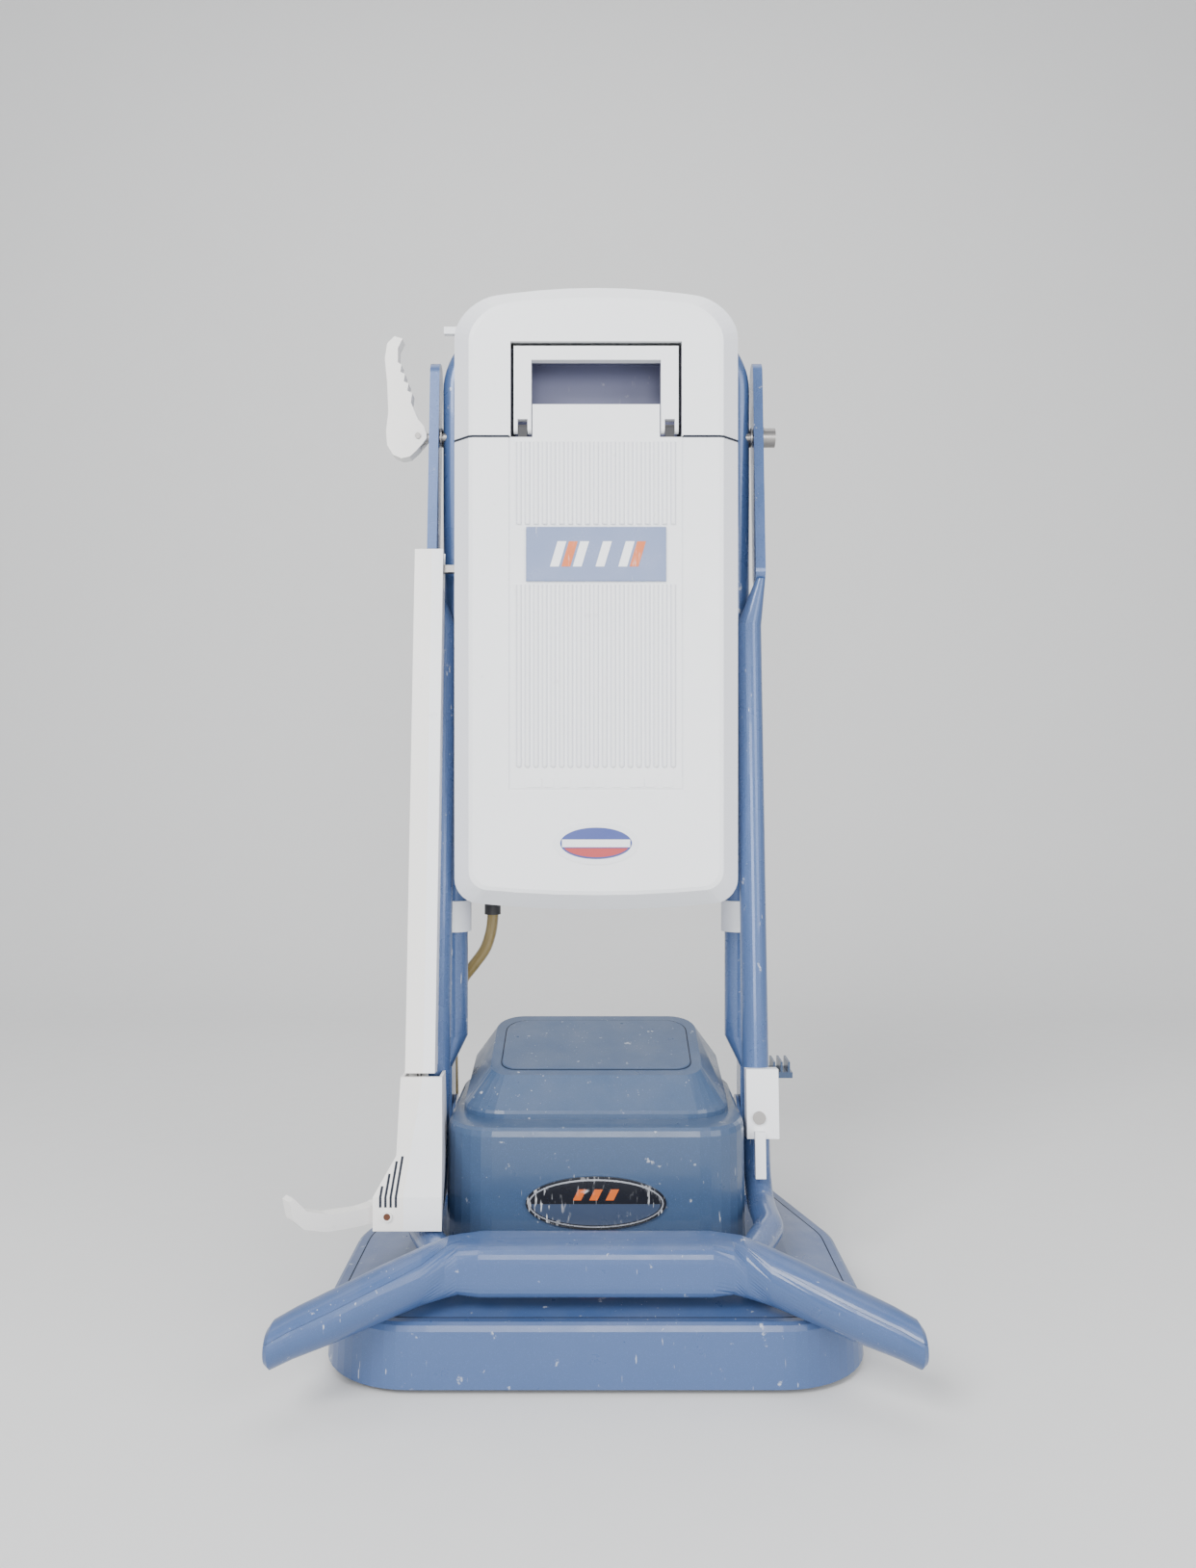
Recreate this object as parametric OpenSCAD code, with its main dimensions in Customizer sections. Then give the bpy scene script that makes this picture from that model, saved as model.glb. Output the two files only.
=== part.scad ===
// Upright floor machine: a three-brush head, a tilting tube frame with a solution tank,
// and a two-hand handle that folds down over the front.
// Millimetres. +Z is up, the front faces -Y, and the floor is z = 0.

/* [Head] */
// Width of the brush head across the skirt
head_w = 376; // [366:1:420]
// Front edge of the skirt, in front of the origin
head_front = 157; // [152:1:175]
// Height of the skirt's rim above the floor
rim_h = 46; // [45:1:56]
// Gap between the skirt and the floor
skirt_gap = 4; // [3:1:8]
// Wall of the head's mouldings
head_wall = 3; // [2:0.5:3.5]
// Width of the motor hood
hood_w = 230; // [200:1:232]
// Front wall of the motor hood, in front of the origin
hood_front = 57; // [52:1:64]
// Rear wall of the motor hood, behind the origin
hood_rear = 112; // [105:1:124]
// Height of the hood's shoulder above the floor
hood_h = 145; // [140:1:180]
// Height of the cap at its rear edge, above the hood's shoulder
cap_rise = 57; // [36:1:70]

/* [Drive] */
// Module of the brush gears
gear_module = 2.5; // [2.4:0.05:2.6]
// Teeth on the brush gears
brush_teeth = 60; // [58:2:60]
// Teeth on the cluster's small gear
sun_teeth = 18; // [18:1:20]
// Module of the motor's gears
motor_module = 1.25; // [1.2:0.05:1.3]
// Teeth on the motor's pinion
pinion_teeth = 12; // [12:1:14]
// Teeth on the cluster's large gear
cluster_teeth = 32; // [30:1:34]
// Width of a gear's teeth along its axis
gear_w = 6; // [5:0.5:6]
// Radius of a brush
brush_r = 75; // [60:1:76]
// Length of the bristles
bristle_h = 14; // [12:1:15]
// Radius of the motor's housing
motor_r = 42; // [36:1:46]
// Height of the motor's housing
motor_h = 84; // [70:1:90]

/* [Frame] */
// Distance between the centrelines of the frame's legs
frame_w = 240; // [236:1:260]
// Radius of the frame's and handle's tubes
tube_r = 10.5; // [9:0.5:11]
// Wall of the tubes
tube_wall = 1.5; // [1:0.25:2.5]
// Frame's plane behind the origin
frame_y = 80; // [78:1:90]
// Height of the axis that the frame tilts on
tilt_z = 118; // [112:1:124]
// Height of the frame's top bar
frame_top = 795; // [740:1:860]
// Centreline radius of the frame's top corners
frame_corner = 50; // [35:1:60]
// Thickness of a flattened tube end
flat_t = 8; // [7:0.5:10]
// Width of a flattened tube end
flat_w = 27; // [24:1:30]
// Radius of the pivot bolts' shanks
bolt_r = 4; // [3:0.5:5]

/* [Handle] */
// Height of the handle's pivots
fold_z = 694; // [650:1:720]
// Lean of the folded handle from the vertical, in degrees
lean = 6.8; // [6:0.1:7.5]
// Width of the grip over its two ends
grip_w = 410; // [380:1:440]
// Centreline radius of the bends at the handle's foot
foot_bend = 36; // [30:1:42]

/* [Tank] */
// Front face of the tank behind the origin
tank_front = 8; // [6:1:14]
// Height of the tank's lowest point
tank_bottom = 299; // [280:1:310]
// Height of the joint between the tank and its lid
lid_z = 675; // [650:1:690]
// Height of the lid's highest point
lid_top = 799; // [790:1:830]
// Width of the chamfer round the front face
face_edge = 16; // [12:1:20]
// Depth of the chamfer round the front face
face_depth = 14; // [10:1:18]
// Wall of the tank and its lid
tank_wall = 3; // [2:0.5:4]
// Number of ribs on the front face
rib_count = 19; // [15:2:21]
// Radius of the drain hose
hose_r = 5; // [4:0.5:5.5]

/* [Hidden] */

blue = [0.45, 0.56, 0.74];
white = [0.93, 0.95, 0.96];
lilac = [0.55, 0.57, 0.72];
black = [0.08, 0.08, 0.09];
steel = [0.62, 0.63, 0.65];
grey = [0.45, 0.46, 0.48];

eps = 0.02;
fit = 0.05;           // radial gap of a shaft in its bore
seam = 0.2;           // gap between mouldings that meet
$fn = 48;
fine = 64;

// ---------------------------------------------------------------- shared shapes

function unit(v) = v / norm(v);
function arc(c, r, a0, a1, n) = [for (i = [0:n]) let (a = a0 + (a1 - a0) * i / n) c + r * [cos(a), sin(a)]];
function flip_x(pts) = [for (i = [len(pts) - 1:-1:0]) [-pts[i][0], pts[i][1]]];
function at_z(pts, z) = [for (p = pts) [p[0], p[1], z]];
function at_y(pts, y) = [for (p = pts) [p[0], y, p[1]]];

// Rounded rectangle from [x0, y0] to [x1, y1], anticlockwise from the front right corner
function round_rect(x0, y0, x1, y1, ra, rb, n = 7) = concat(
    arc([x1 - ra, y0 + ra], ra, -90, 0, n), arc([x1 - rb, y1 - rb], rb, 0, 90, n),
    arc([x0 + rb, y1 - rb], rb, 90, 180, n), arc([x0 + ra, y0 + ra], ra, 180, 270, n));

// Solid skin over a stack of equal rings. Rings run anticlockwise seen from the last one.
// Each four-sided patch is split on one diagonal, or on the other one.
module loft(rings, other = false) {
    n = len(rings[0]);
    d = other ? 0 : n;
    last = (len(rings) - 1) * n;
    polyhedron(
        points = [for (r = rings) each r],
        faces = concat(
            [[for (i = [0:n - 1]) i]],
            [[for (i = [n - 1:-1:0]) last + i]],
            [for (k = [0:len(rings) - 2], i = [0:n - 1])
                [k * n + i, (k + 1) * n + i, k * n + d + (i + 1) % n]],
            [for (k = [0:len(rings) - 2], i = [0:n - 1])
                [k * n + n - d + i, (k + 1) * n + (i + 1) % n, k * n + (i + 1) % n]]));
}

module place(at, direction) {
    d = unit(direction);
    translate(at) rotate([0, acos(d[2]), atan2(d[1], d[0])]) children();
}

module rod(a, b, r) { place(a, b - a) cylinder(h = norm(b - a), r = r); }

module x_rod(x0, x1, y, z, r) { translate([x0, y, z]) rotate([0, 90, 0]) cylinder(h = x1 - x0, r = r); }

// Round bar along a line of points, with arcs of radius bend at its inner points
module pipe(pts, bend, r) {
    n = len(pts) - 1;
    dirs = [for (i = [0:n - 1]) unit(pts[i + 1] - pts[i])];
    turns = [for (i = [0:n - 2]) acos(dirs[i] * dirs[i + 1])];
    cuts = [0, for (t = turns) bend * tan(t / 2), 0];
    for (i = [0:n - 1]) rod(pts[i] + cuts[i] * dirs[i], pts[i + 1] - cuts[i + 1] * dirs[i], r);
    for (i = [0:n - 2]) {
        normal = unit(cross(dirs[i], dirs[i + 1]));
        out = -cross(normal, dirs[i]);
        centre = pts[i + 1] - cuts[i + 1] * dirs[i] - bend * out;
        multmatrix([for (k = [0:2]) [out[k], dirs[i][k], normal[k], centre[k]]])
            rotate_extrude(angle = turns[i]) translate([bend, 0]) circle(r);
    }
}

// Centreline through points, with arcs of radius bend at the inner ones
function bent(pts, bend) = concat([pts[0]], [for (i = [1:len(pts) - 2])
    let (d0 = unit(pts[i] - pts[i - 1]), d1 = unit(pts[i + 1] - pts[i]), turn = acos(d0 * d1),
        cut = bend * tan(turn / 2),
         normal = unit(cross(d0, d1)), toward = cross(normal, d0), centre =
             pts[i] - cut * d0 + bend * toward)
    for (k = [0:8]) let (a = turn * k / 8) centre + bend * (sin(a) * d0 - cos(a) * toward)],
        [pts[len(pts) - 1]]);

// Round bar along a centreline that never runs along ref
module sweep(line, r, sides, ref) {
    m = len(line) - 1;
    loft([for (i = [0:m])
        let (d = unit(unit(line[min(m, i + 1)] - line[max(0, i)] + (i == m ? line[m] - line[m - 1] : [0, 0,
            0]))
                      + unit(line[max(1, i)] - line[max(0, i - 1)])),
             u = unit(cross(ref, d)), v = cross(d, u))
        [for (j = [0:sides - 1]) line[i] + r * (cos(j * 360 / sides) * u + sin(j * 360 / sides) * v)]]);
}

// Flat bar with round ends in the YZ plane, from z0 to z1, centred on y and x
module flat_bar(x, y, z0, z1, t, w) {
    translate([x - t / 2, y, 0]) {
        translate([0, -w / 2, z0 + w / 2]) cube([t, w, z1 - z0 - w]);
        for (z = [z0 + w / 2, z1 - w / 2]) translate([0, 0, z]) rotate([0, 90, 0])
            cylinder(h = t, r = w / 2);
    }
}

// Taper from a round tube at z0 to a flat section at z1
module flatten(x0, x1, y, z0, z1, t, w) {
    hull() {
        translate([x0, y, z0]) linear_extrude(eps) circle(tube_r, $fn = 32);
        translate([x1, y, z1]) linear_extrude(eps)
            for (s = [-1, 1]) translate([0, s * (w - t) / 2]) circle(t / 2, $fn = 32);
    }
}

// Involute gear outline: teeth, module, and backlash taken off each flank
function involute(rb, t) = [rb * (cos(t) + t * PI / 180 * sin(t)), rb * (sin(t) - t * PI / 180 * cos(t))];
function polar_turn(p, a) = [p[0] * cos(a) - p[1] * sin(a), p[0] * sin(a) + p[1] * cos(a)];
function roll_to(rb, r) = r <= rb ? 0 : sqrt(pow(r / rb, 2) - 1) * 180 / PI;
function gear_outline(teeth, m, backlash = 0.12) =
    let (rp = teeth * m / 2, rb = rp * cos(20), ra = rp + 0.9 * m, rf = rp - 1.2 * m,
         at_pitch = involute(rb, roll_to(rb, rp)),
         half = 90 / teeth - backlash / rp * 180 / PI,
         start = max(rb, rf),
         flank = [for (i = [0:3]) involute(rb, roll_to(rb, start + (ra - start) * i / 3))],
         shift = -atan2(at_pitch[1], at_pitch[0]) - half)
    [for (k = [0:teeth - 1]) let (a = k * 360 / teeth) each concat(
        [polar_turn([rf, 0], a - 180 / teeth * 0.55)],
        [for (p = flank) polar_turn(p, a + shift)],
        [for (i = [3:-1:0]) polar_turn([flank[i][0], -flank[i][1]], a - shift)],
        [polar_turn([rf, 0], a + 180 / teeth * 0.55)])];
module gear(teeth, m, h) { linear_extrude(h) polygon(gear_outline(teeth, m)); }

// ---------------------------------------------------------------- heights and places in the head

brush_plate_h = 6;
cover_z = bristle_h + brush_plate_h + 1.5;
cover_t = 2;
brush_gear_z = cover_z + cover_t + 1;
cluster_z = brush_gear_z + gear_w + 1;
cluster_w = 4;
plate_z = cluster_z + cluster_w + 1;
plate_t = 2.5;
motor_z = plate_z + plate_t;

sun_arm = gear_module * (sun_teeth + brush_teeth) / 2;      // cluster axis to a brush axis
motor_arm = motor_module * (pinion_teeth + cluster_teeth) / 2;
front_angle = 22.6;
motor_y = 0;
cluster_y = motor_y - motor_arm;
sun_angles = [180 + front_angle, -front_angle, 90];         // front left, front right, rear
function brush_at(i) = [sun_arm * cos(sun_angles[i]), cluster_y + sun_arm * sin(sun_angles[i])];
// Turn of a gear so that its tooth gap meets the driving gear's tooth at the angle a
function mesh_turn(a, driver, driven) =
    let (pitch = 360 / driver, tooth = ceil(a / pitch) * pitch)
        a + 180 - (tooth - a) * driver / driven + 180 / driven;

// ---------------------------------------------------------------- head outline

corner_r = 65;
mid_r = 80;
rear_r = 75;
mid_y = -10;
rear_y = 95;
rear_taper = 30;
half_w = head_w / 2;
corner_c = [half_w - corner_r, corner_r - head_front];
mid_c = [half_w - mid_r, mid_y];
rear_c = [half_w - rear_taper - rear_r, rear_y];
side_turn = atan2(mid_c[0] - rear_c[0],
    rear_c[1] - mid_c[1]) + asin((mid_r - rear_r) / norm(rear_c - mid_c));
function half_outline(inset) = concat(
    arc(corner_c, corner_r - inset, -90, 0, 12), arc(mid_c, mid_r - inset, 1, side_turn, 3),
    arc(rear_c, rear_r - inset, side_turn + 2, 90, 12));
function head_outline(inset) = concat(half_outline(inset), flip_x(half_outline(inset)));

rim_w = 9;                       // width of the rim that holds the deck
deck_rise = 5;                   // rise of the deck from the rim to the hood
deck_top = rim_h + deck_rise;

module skirt_outside() {
    loft([at_z(head_outline(0), skirt_gap), at_z(head_outline(2), rim_h - 5),
          at_z(head_outline(3.5), rim_h - 1.5), at_z(head_outline(6), rim_h)]);
}

module skirt() {
    color(blue) difference() {
        skirt_outside();
        loft([at_z(head_outline(head_wall), skirt_gap - 1),
            at_z(head_outline(head_wall + 2), rim_h - head_wall - 5),
              at_z(head_outline(rim_w + head_wall), rim_h - head_wall),
                  at_z(head_outline(rim_w + head_wall), rim_h + 1)]);
    }
}

// Hood: outline at a given inset, and its cap
hood_half = hood_w / 2;
hood_ra = 38;
hood_rb = 26;
function hood_outline(inset) =
    round_rect(-hood_half + inset, -hood_front + inset, hood_half - inset, hood_rear - inset,
        hood_ra - inset, hood_rb - inset);
deck_in = rim_w + head_wall;
shoulder = 28;                   // shoulder in front of the cap
cap_side = 11;                   // shoulder beside the cap
cap_lip = 6;
cap_y0 = -hood_front + shoulder;
cap_y1 = hood_rear - 4;
cap_hole = 6;
function cap_outline(inset) =
    round_rect(-hood_half + cap_side + inset, cap_y0 + inset, hood_half - cap_side - inset, cap_y1 - inset,
               34 - inset, 20 - inset);

deck_slope = 12;                 // width of the deck's rim before it rises
deck_flat = 34;                  // width of the deck's rim and rise
hood_seat = 5;                   // ledge of the deck that the hood stands on
module deck() {
    color(blue) difference() {
        loft([at_z(head_outline(deck_in), rim_h - head_wall), at_z(head_outline(deck_in), rim_h),
              at_z(head_outline(deck_in + deck_slope), rim_h + 2),
                  at_z(head_outline(deck_in + deck_flat), deck_top)]);
        loft([at_z(head_outline(deck_in + deck_slope + head_wall), rim_h - head_wall - 1),
              at_z(head_outline(deck_in + deck_slope + head_wall), rim_h - head_wall),
              at_z(head_outline(deck_in + deck_flat + 2), deck_top - head_wall)]);
        loft([at_z(hood_outline(hood_seat), rim_h - 10), at_z(hood_outline(hood_seat), deck_top + 1)]);
        translate([each elbow_at, 0]) cylinder(h = 100, r = hose_r + 2);
    }
    // feet on the gear plate, and flats under the brackets and the elbow
    color(blue) for (s = [-1, 1]) {
        for (p = [[130, -80], [40, hood_rear + 12]])
            translate([s * p[0], p[1], plate_z + plate_t])
                cylinder(h = rim_h + 3 - plate_z - plate_t, r = 6);
        difference() {
            translate([s * foot_x - 17, frame_y - 20, rim_h]) cube([34, 56, deck_rise]);
            translate([each elbow_at, 0]) cylinder(h = 100, r = hose_r + 2);
            loft([at_z(hood_outline(hood_seat), rim_h - 1), at_z(hood_outline(hood_seat), deck_top + 1)]);
        }
    }
}

module motor_hood() {
    color(blue) difference() {
        loft([at_z(hood_outline(0), deck_top), at_z(hood_outline(0.5), deck_top + 15),
              at_z(hood_outline(1.5), hood_h - 6), at_z(hood_outline(2.6), hood_h - 2),
                  at_z(hood_outline(5), hood_h)]);
        loft([at_z(hood_outline(head_wall), deck_top - 1), at_z(hood_outline(head_wall + 1), deck_top + 15),
              at_z(hood_outline(head_wall + 2), hood_h - head_wall)]);
        loft([at_z(cap_outline(cap_hole), hood_h - 20), at_z(cap_outline(cap_hole), hood_h + 10)]);
        translate([0, hood_rear + 5, gland_z]) rotate([90, 0, 0]) cylinder(h = 20, r = gland_r);
    }
}

// The cap's top leans, and is higher at the rear
cap_low = 20;
cap_in = 20;
cap_front_in = 26;
function cap_z(y) = hood_h + cap_low + (cap_rise - cap_low) * (y - cap_y0) / (cap_y1 - cap_y0);
function cap_top(inset, drop = 0) =
    let (x = hood_half - cap_side - cap_in)
    [for (p = round_rect(-x + inset, cap_y0 + cap_front_in + inset, x - inset, cap_y1 - 12 - inset,
        16 - inset / 2, 22 - inset / 2))
        [p[0], p[1], cap_z(p[1]) - drop]];
function cap_mid(inset, drop = 0) =
    [for (p = cap_outline(inset)) [p[0], p[1], hood_h + cap_lip + (cap_rise - 33) * max(0,
        (p[1] - cap_y0 - 30) / (cap_y1 - cap_y0)) - drop]];

module hood_cap() {
    color(blue) difference() {
        loft([at_z(cap_outline(0), hood_h), at_z(cap_outline(0), hood_h + cap_lip * 0.6), cap_mid(1),
            cap_top(0)]);
        loft([at_z(cap_outline(head_wall), hood_h - 1),
            at_z(cap_outline(head_wall), hood_h + cap_lip * 0.6),
              cap_mid(head_wall + 1, 1), cap_top(head_wall, head_wall)]);
        // seat of the panel
        loft([cap_top(8, 1.2), cap_top(8, -3)]);
    }
}

module cap_panel() { color(blue) loft([cap_top(8.6, 1.15), cap_top(8.6, -0.3), cap_top(9.4, -0.8)]); }

module head_badge() {
    // on the drafted front wall, so its back stays clear of it
    color(black) translate([0, -hood_front + 0.1, hood_h - 54]) rotate([90, 0, 0]) scale([2.66, 1, 1])
        cylinder(h = 1.4, r = 19.5, $fn = fine);
}

gland_z = rim_h + 34;
gland_r = 8;
module cord_gland() {
    color(black) translate([0, hood_rear + 4, gland_z]) rotate([90, 0, 0]) difference() {
        union() {
            translate([0, 0, 8.6]) cylinder(h = 3.4, r = gland_r + 4);
            cylinder(h = 12, r = gland_r);
            cylinder(h = 3.4, r = gland_r + 3);
        }
        translate([0, 0, -1]) cylinder(h = 16, r = 4);
    }
}

// ---------------------------------------------------------------- gear case

gear_ra = gear_module * (brush_teeth / 2 + 0.9);
case_wall = 2.5;
module case_outline(extra) { hull() for (i = [0:2]) translate(brush_at(i))
    circle(gear_ra + extra, $fn = fine); }

spindle_r = 7;
module gear_plate() {
    color(grey) difference() {
        union() {
            translate([0, 0, plate_z]) linear_extrude(plate_t) case_outline(case_wall + 1);
            translate([0, 0, cover_z + cover_t]) linear_extrude(plate_z - cover_z - cover_t + eps)
                difference() {
                    case_outline(case_wall + 1);
                    case_outline(1);
                }
        }
        translate([0, motor_y, plate_z - 1]) cylinder(h = plate_t + 2, r = pinion_hole);
        for (i = [0:2]) translate([each brush_at(i), plate_z - 1])
            cylinder(h = plate_t + 2, r = spindle_top_r + fit);
        for (p = screw_spots) translate([p[0], p[1], 0]) cylinder(h = 60, r = 1.6);
    }
    // spigot of the cluster gear
    color(grey) translate([0, cluster_y, cover_z + 0.2])
        cylinder(h = plate_z + plate_t - cover_z - 0.3, r = pin_r - fit);
}
spindle_top_r = 4;
pinion_hole = 10;
pin_r = 3;
screw_spots = [for (i = [0:2]) for (s = [-1, 1]) let (a = sun_angles[i] + s * 38)
    brush_at(i) + (gear_ra + case_wall - 0.2) * [cos(a), sin(a)]];

module gear_cover() {
    color(grey) difference() {
        translate([0, 0, cover_z]) linear_extrude(cover_t) case_outline(case_wall + 1);
        for (i = [0:2]) translate([each brush_at(i), 0]) cylinder(h = 60, r = spindle_r + fit);
        translate([0, cluster_y, 0]) cylinder(h = 60, r = pin_r);
        for (p = screw_spots) translate([p[0], p[1], 0]) cylinder(h = 60, r = 1.9);
    }
}

module plate_screws() {
    color(steel) for (p = screw_spots) translate([p[0], p[1], cover_z - 2]) {
        cylinder(h = 2, r = 3.2);
        cylinder(h = 10, r = 1.5);
    }
}

module cluster_gear() {
    color(white * 0.8) translate([0, cluster_y, 0]) difference() {
        union() {
            translate([0, 0, brush_gear_z]) gear(sun_teeth, gear_module, gear_w + 1);
            translate([0, 0, cluster_z]) rotate(mesh_turn(-90, pinion_teeth, cluster_teeth))
                gear(cluster_teeth, motor_module, cluster_w);
        }
        cylinder(h = 60, r = pin_r + fit);
    }
}

module brush_gear(i) {
    color(white * 0.8) translate([each brush_at(i), 0]) {
        difference() {
            translate([0, 0, brush_gear_z]) rotate(mesh_turn(sun_angles[i], sun_teeth, brush_teeth))
                gear(brush_teeth, gear_module, gear_w);
            for (a = [0:60:300]) rotate(a) translate([gear_ra * 0.56, 0, brush_gear_z - 1])
                cylinder(h = gear_w + 2, r = gear_ra * 0.17);
            translate([0, 0, brush_gear_z + gear_w - 1.2]) difference() {
                cylinder(h = 3, r = gear_ra - 8);
                cylinder(h = 3, r = 18);
            }
        }
        translate([0, 0, brush_gear_z]) cylinder(h = plate_z + plate_t - 0.3 - brush_gear_z,
            r = spindle_top_r);
        translate([0, 0, bristle_h + 1.4]) cylinder(h = brush_gear_z - bristle_h - 1.4 + eps,
            r = spindle_r);
    }
}

module brush_plate(i) {
    color(grey) translate([each brush_at(i), bristle_h]) difference() {
        union() {
            cylinder(h = 3.5, r = brush_r);
            cylinder(h = brush_plate_h, r = 22);
        }
        translate([0, 0, 1.2]) cylinder(h = 20, r = spindle_r);
        for (a = [0:45:315]) rotate(a) translate([brush_r * 0.62, 0, -1]) cylinder(h = 10, r = 6);
    }
}

module bristle_rings(i) {
    color(black) translate([each brush_at(i), 0])
        for (ring = [[brush_r - 2, 9], [brush_r - 15, 7], [24, 7]]) difference() {
        cylinder(h = bristle_h, r = ring[0]);
        translate([0, 0, -1]) cylinder(h = bristle_h + 2, r = ring[0] - ring[1]);
    }
}

// ---------------------------------------------------------------- motor

shaft_r = 4;
bell_h = 14;
motor_wall = 3;
stack_h = motor_h - 34;
module motor_housing() {
    color(grey) translate([0, motor_y, motor_z]) difference() {
        union() {
            cylinder(h = motor_h, r = motor_r, $fn = fine);
            cylinder(h = 3, r = motor_r + 4, $fn = fine);
        }
        translate([0, 0, 3]) cylinder(h = motor_h, r = motor_r - motor_wall, $fn = fine);
        translate([0, 0, -1]) cylinder(h = 10, r = shaft_r + fit);
        for (a = [0:45:315]) rotate(a + 22.5) translate([motor_r, 0, 14]) rotate([0, 90, 0])
            cylinder(h = 20, r = 5, center = true);
    }
}

module motor_end_bell() {
    color(steel) translate([0, motor_y, motor_z + motor_h]) difference() {
        union() {
            cylinder(h = 4, r = motor_r, $fn = fine);
            cylinder(h = bell_h, r = 14);
        }
        translate([0, 0, -1]) cylinder(h = bell_h - 1, r = shaft_r + fit);
        for (a = [0:60:300]) rotate(a) translate([motor_r * 0.66, 0, -1]) cylinder(h = 8, r = 6);
    }
}

module motor_rotor() {
    color(steel) translate([0, motor_y, motor_z + 22]) difference() {
        cylinder(h = stack_h, r = motor_r * 0.55);
        translate([0, 0, -1]) cylinder(h = stack_h + 2, r = shaft_r);
        for (a = [0:30:330]) rotate(a) translate([motor_r * 0.55, 0, -1])
            cylinder(h = stack_h + 2, r = 1.6);
    }
}

module motor_shaft() {
    color(steel) translate([0, motor_y, 0]) {
        translate([0, 0, cluster_z + cluster_w + 0.5])
            cylinder(h = motor_z + motor_h + bell_h - 3 - cluster_z - cluster_w, r = shaft_r);
        translate([0, 0, cluster_z]) gear(pinion_teeth, motor_module, cluster_w + 0.5);
    }
}

// ---------------------------------------------------------------- pivots, wheels and pedal on the head

leg_x = frame_w / 2;
foot_x = leg_x + tube_r - flat_t / 2 - 1;           // middle of a leg's flattened foot
ear_gap = flat_t / 2 + 0.5;
ear_t = 2.5;
module pivot_bracket(side) {
    color(blue) difference() {
        union() {
            for (s = [-1, 1]) {
                x = side * foot_x + s * (ear_gap + ear_t / 2);
                translate([x - ear_t / 2, frame_y - 17, deck_top]) cube([ear_t, 34, tilt_z - deck_top]);
                x_rod(x - ear_t / 2, x + ear_t / 2, frame_y, tilt_z, 17);
            }
            translate([side * foot_x - ear_gap - ear_t, frame_y - 17, deck_top])
                cube([2 * (ear_gap + ear_t), 34, 4]);
            if (side > 0) for (s = [0, 1])
                translate([foot_x + ear_gap + s * 10, pedal_y - 9, pedal_z - 9]) cube([ear_t, 18, 18]);
            if (side > 0) translate([foot_x + ear_gap, pedal_y - 9, pedal_z - 13])
                cube([10 + ear_t, 14, 4]);
        }
        x_rod(side * foot_x - 30, side * foot_x + 30, frame_y, tilt_z, bolt_r + fit);
        if (side > 0) x_rod(foot_x, foot_x + 30, pedal_y, pedal_z, pin_r);
    }
}

pedal_y = frame_y + 24;
pedal_z = tilt_z - 8;
pedal_x = foot_x + ear_gap + ear_t + 0.4;            // inner side of the pedal's hub
pedal_hub = 10 - ear_t - 0.8;

// Bolts that the frame tilts on, and the pin of the pedal
module pivot_pins() {
    color(steel) for (s = [-1, 1]) {
        x_rod(s * foot_x - ear_gap - ear_t, s * foot_x + ear_gap + ear_t, frame_y, tilt_z, bolt_r);
        out = s * (foot_x + ear_gap + ear_t);
        x_rod(min(out, out + s * 3), max(out, out + s * 3), frame_y, tilt_z, 7);
    }
    color(steel) x_rod(foot_x + ear_gap + 0.2, foot_x + ear_gap + 10 + ear_t, pedal_y, pedal_z,
        pin_r - fit);
}

module release_pedal() {
    color(blue) difference() {
        union() {
            x_rod(pedal_x, pedal_x + pedal_hub, pedal_y, pedal_z, 7);
            translate([pedal_x, pedal_y - 4, pedal_z + 3]) cube([pedal_hub, 8, 34]);
            translate([pedal_x, pedal_y - 4, pedal_z + 34]) cube([pedal_tread, 26, 5]);
            for (k = [0:5]) translate([pedal_x + 2 + k * (pedal_tread - 6) / 5, pedal_y - 4, pedal_z + 38])
                cube([1.8, 26, 10]);
        }
        x_rod(pedal_x - 1, pedal_x + pedal_hub + 1, pedal_y, pedal_z, pin_r + fit);
    }
}
pedal_tread = 38;

wheel_r = 21;
wheel_w = 14;
wheel_x = half_w - rear_taper - rear_r - 10;
wheel_y = rear_y + rear_r + wheel_r + 4;
module wheel_axle() {
    color(blue) difference() {
        for (s = [-1, 1]) hull() {
            x_rod(s * (wheel_x + wheel_w / 2 + 4) - 3, s * (wheel_x + wheel_w / 2 + 4) + 3, wheel_y,
                wheel_r + 1, 7);
            translate([s * (wheel_x + wheel_w / 2 + 4) - 3, rear_y + rear_r - 3, wheel_r - 4])
                cube([6, 6, 18]);
        }
        skirt_outside();
        for (s = [-1, 1]) x_rod(s * wheel_x - 30, s * wheel_x + 30, wheel_y, wheel_r + 1, 3);
    }
    color(steel) for (s = [-1, 1])
        x_rod(min(s * (wheel_x - wheel_w / 2 - 3), s * (wheel_x + wheel_w / 2 + 7)),
              max(s * (wheel_x - wheel_w / 2 - 3), s * (wheel_x + wheel_w / 2 + 7)), wheel_y, wheel_r + 1,
                  3);
}

module wheel(side) {
    color(black) translate([side * wheel_x - wheel_w / 2, wheel_y, wheel_r + 1]) rotate([0, 90, 0])
        difference() {
        union() {
            translate([0, 0, 2]) cylinder(h = wheel_w - 4, r = wheel_r);
            cylinder(h = wheel_w, r = wheel_r - 2);
        }
        translate([0, 0, -1]) cylinder(h = wheel_w + 2, r = 3 + fit);
        for (z = [-1, wheel_w - 3]) translate([0, 0, z]) difference() {
            cylinder(h = 4, r = wheel_r - 6);
            cylinder(h = 4, r = 8);
        }
    }
}

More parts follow.
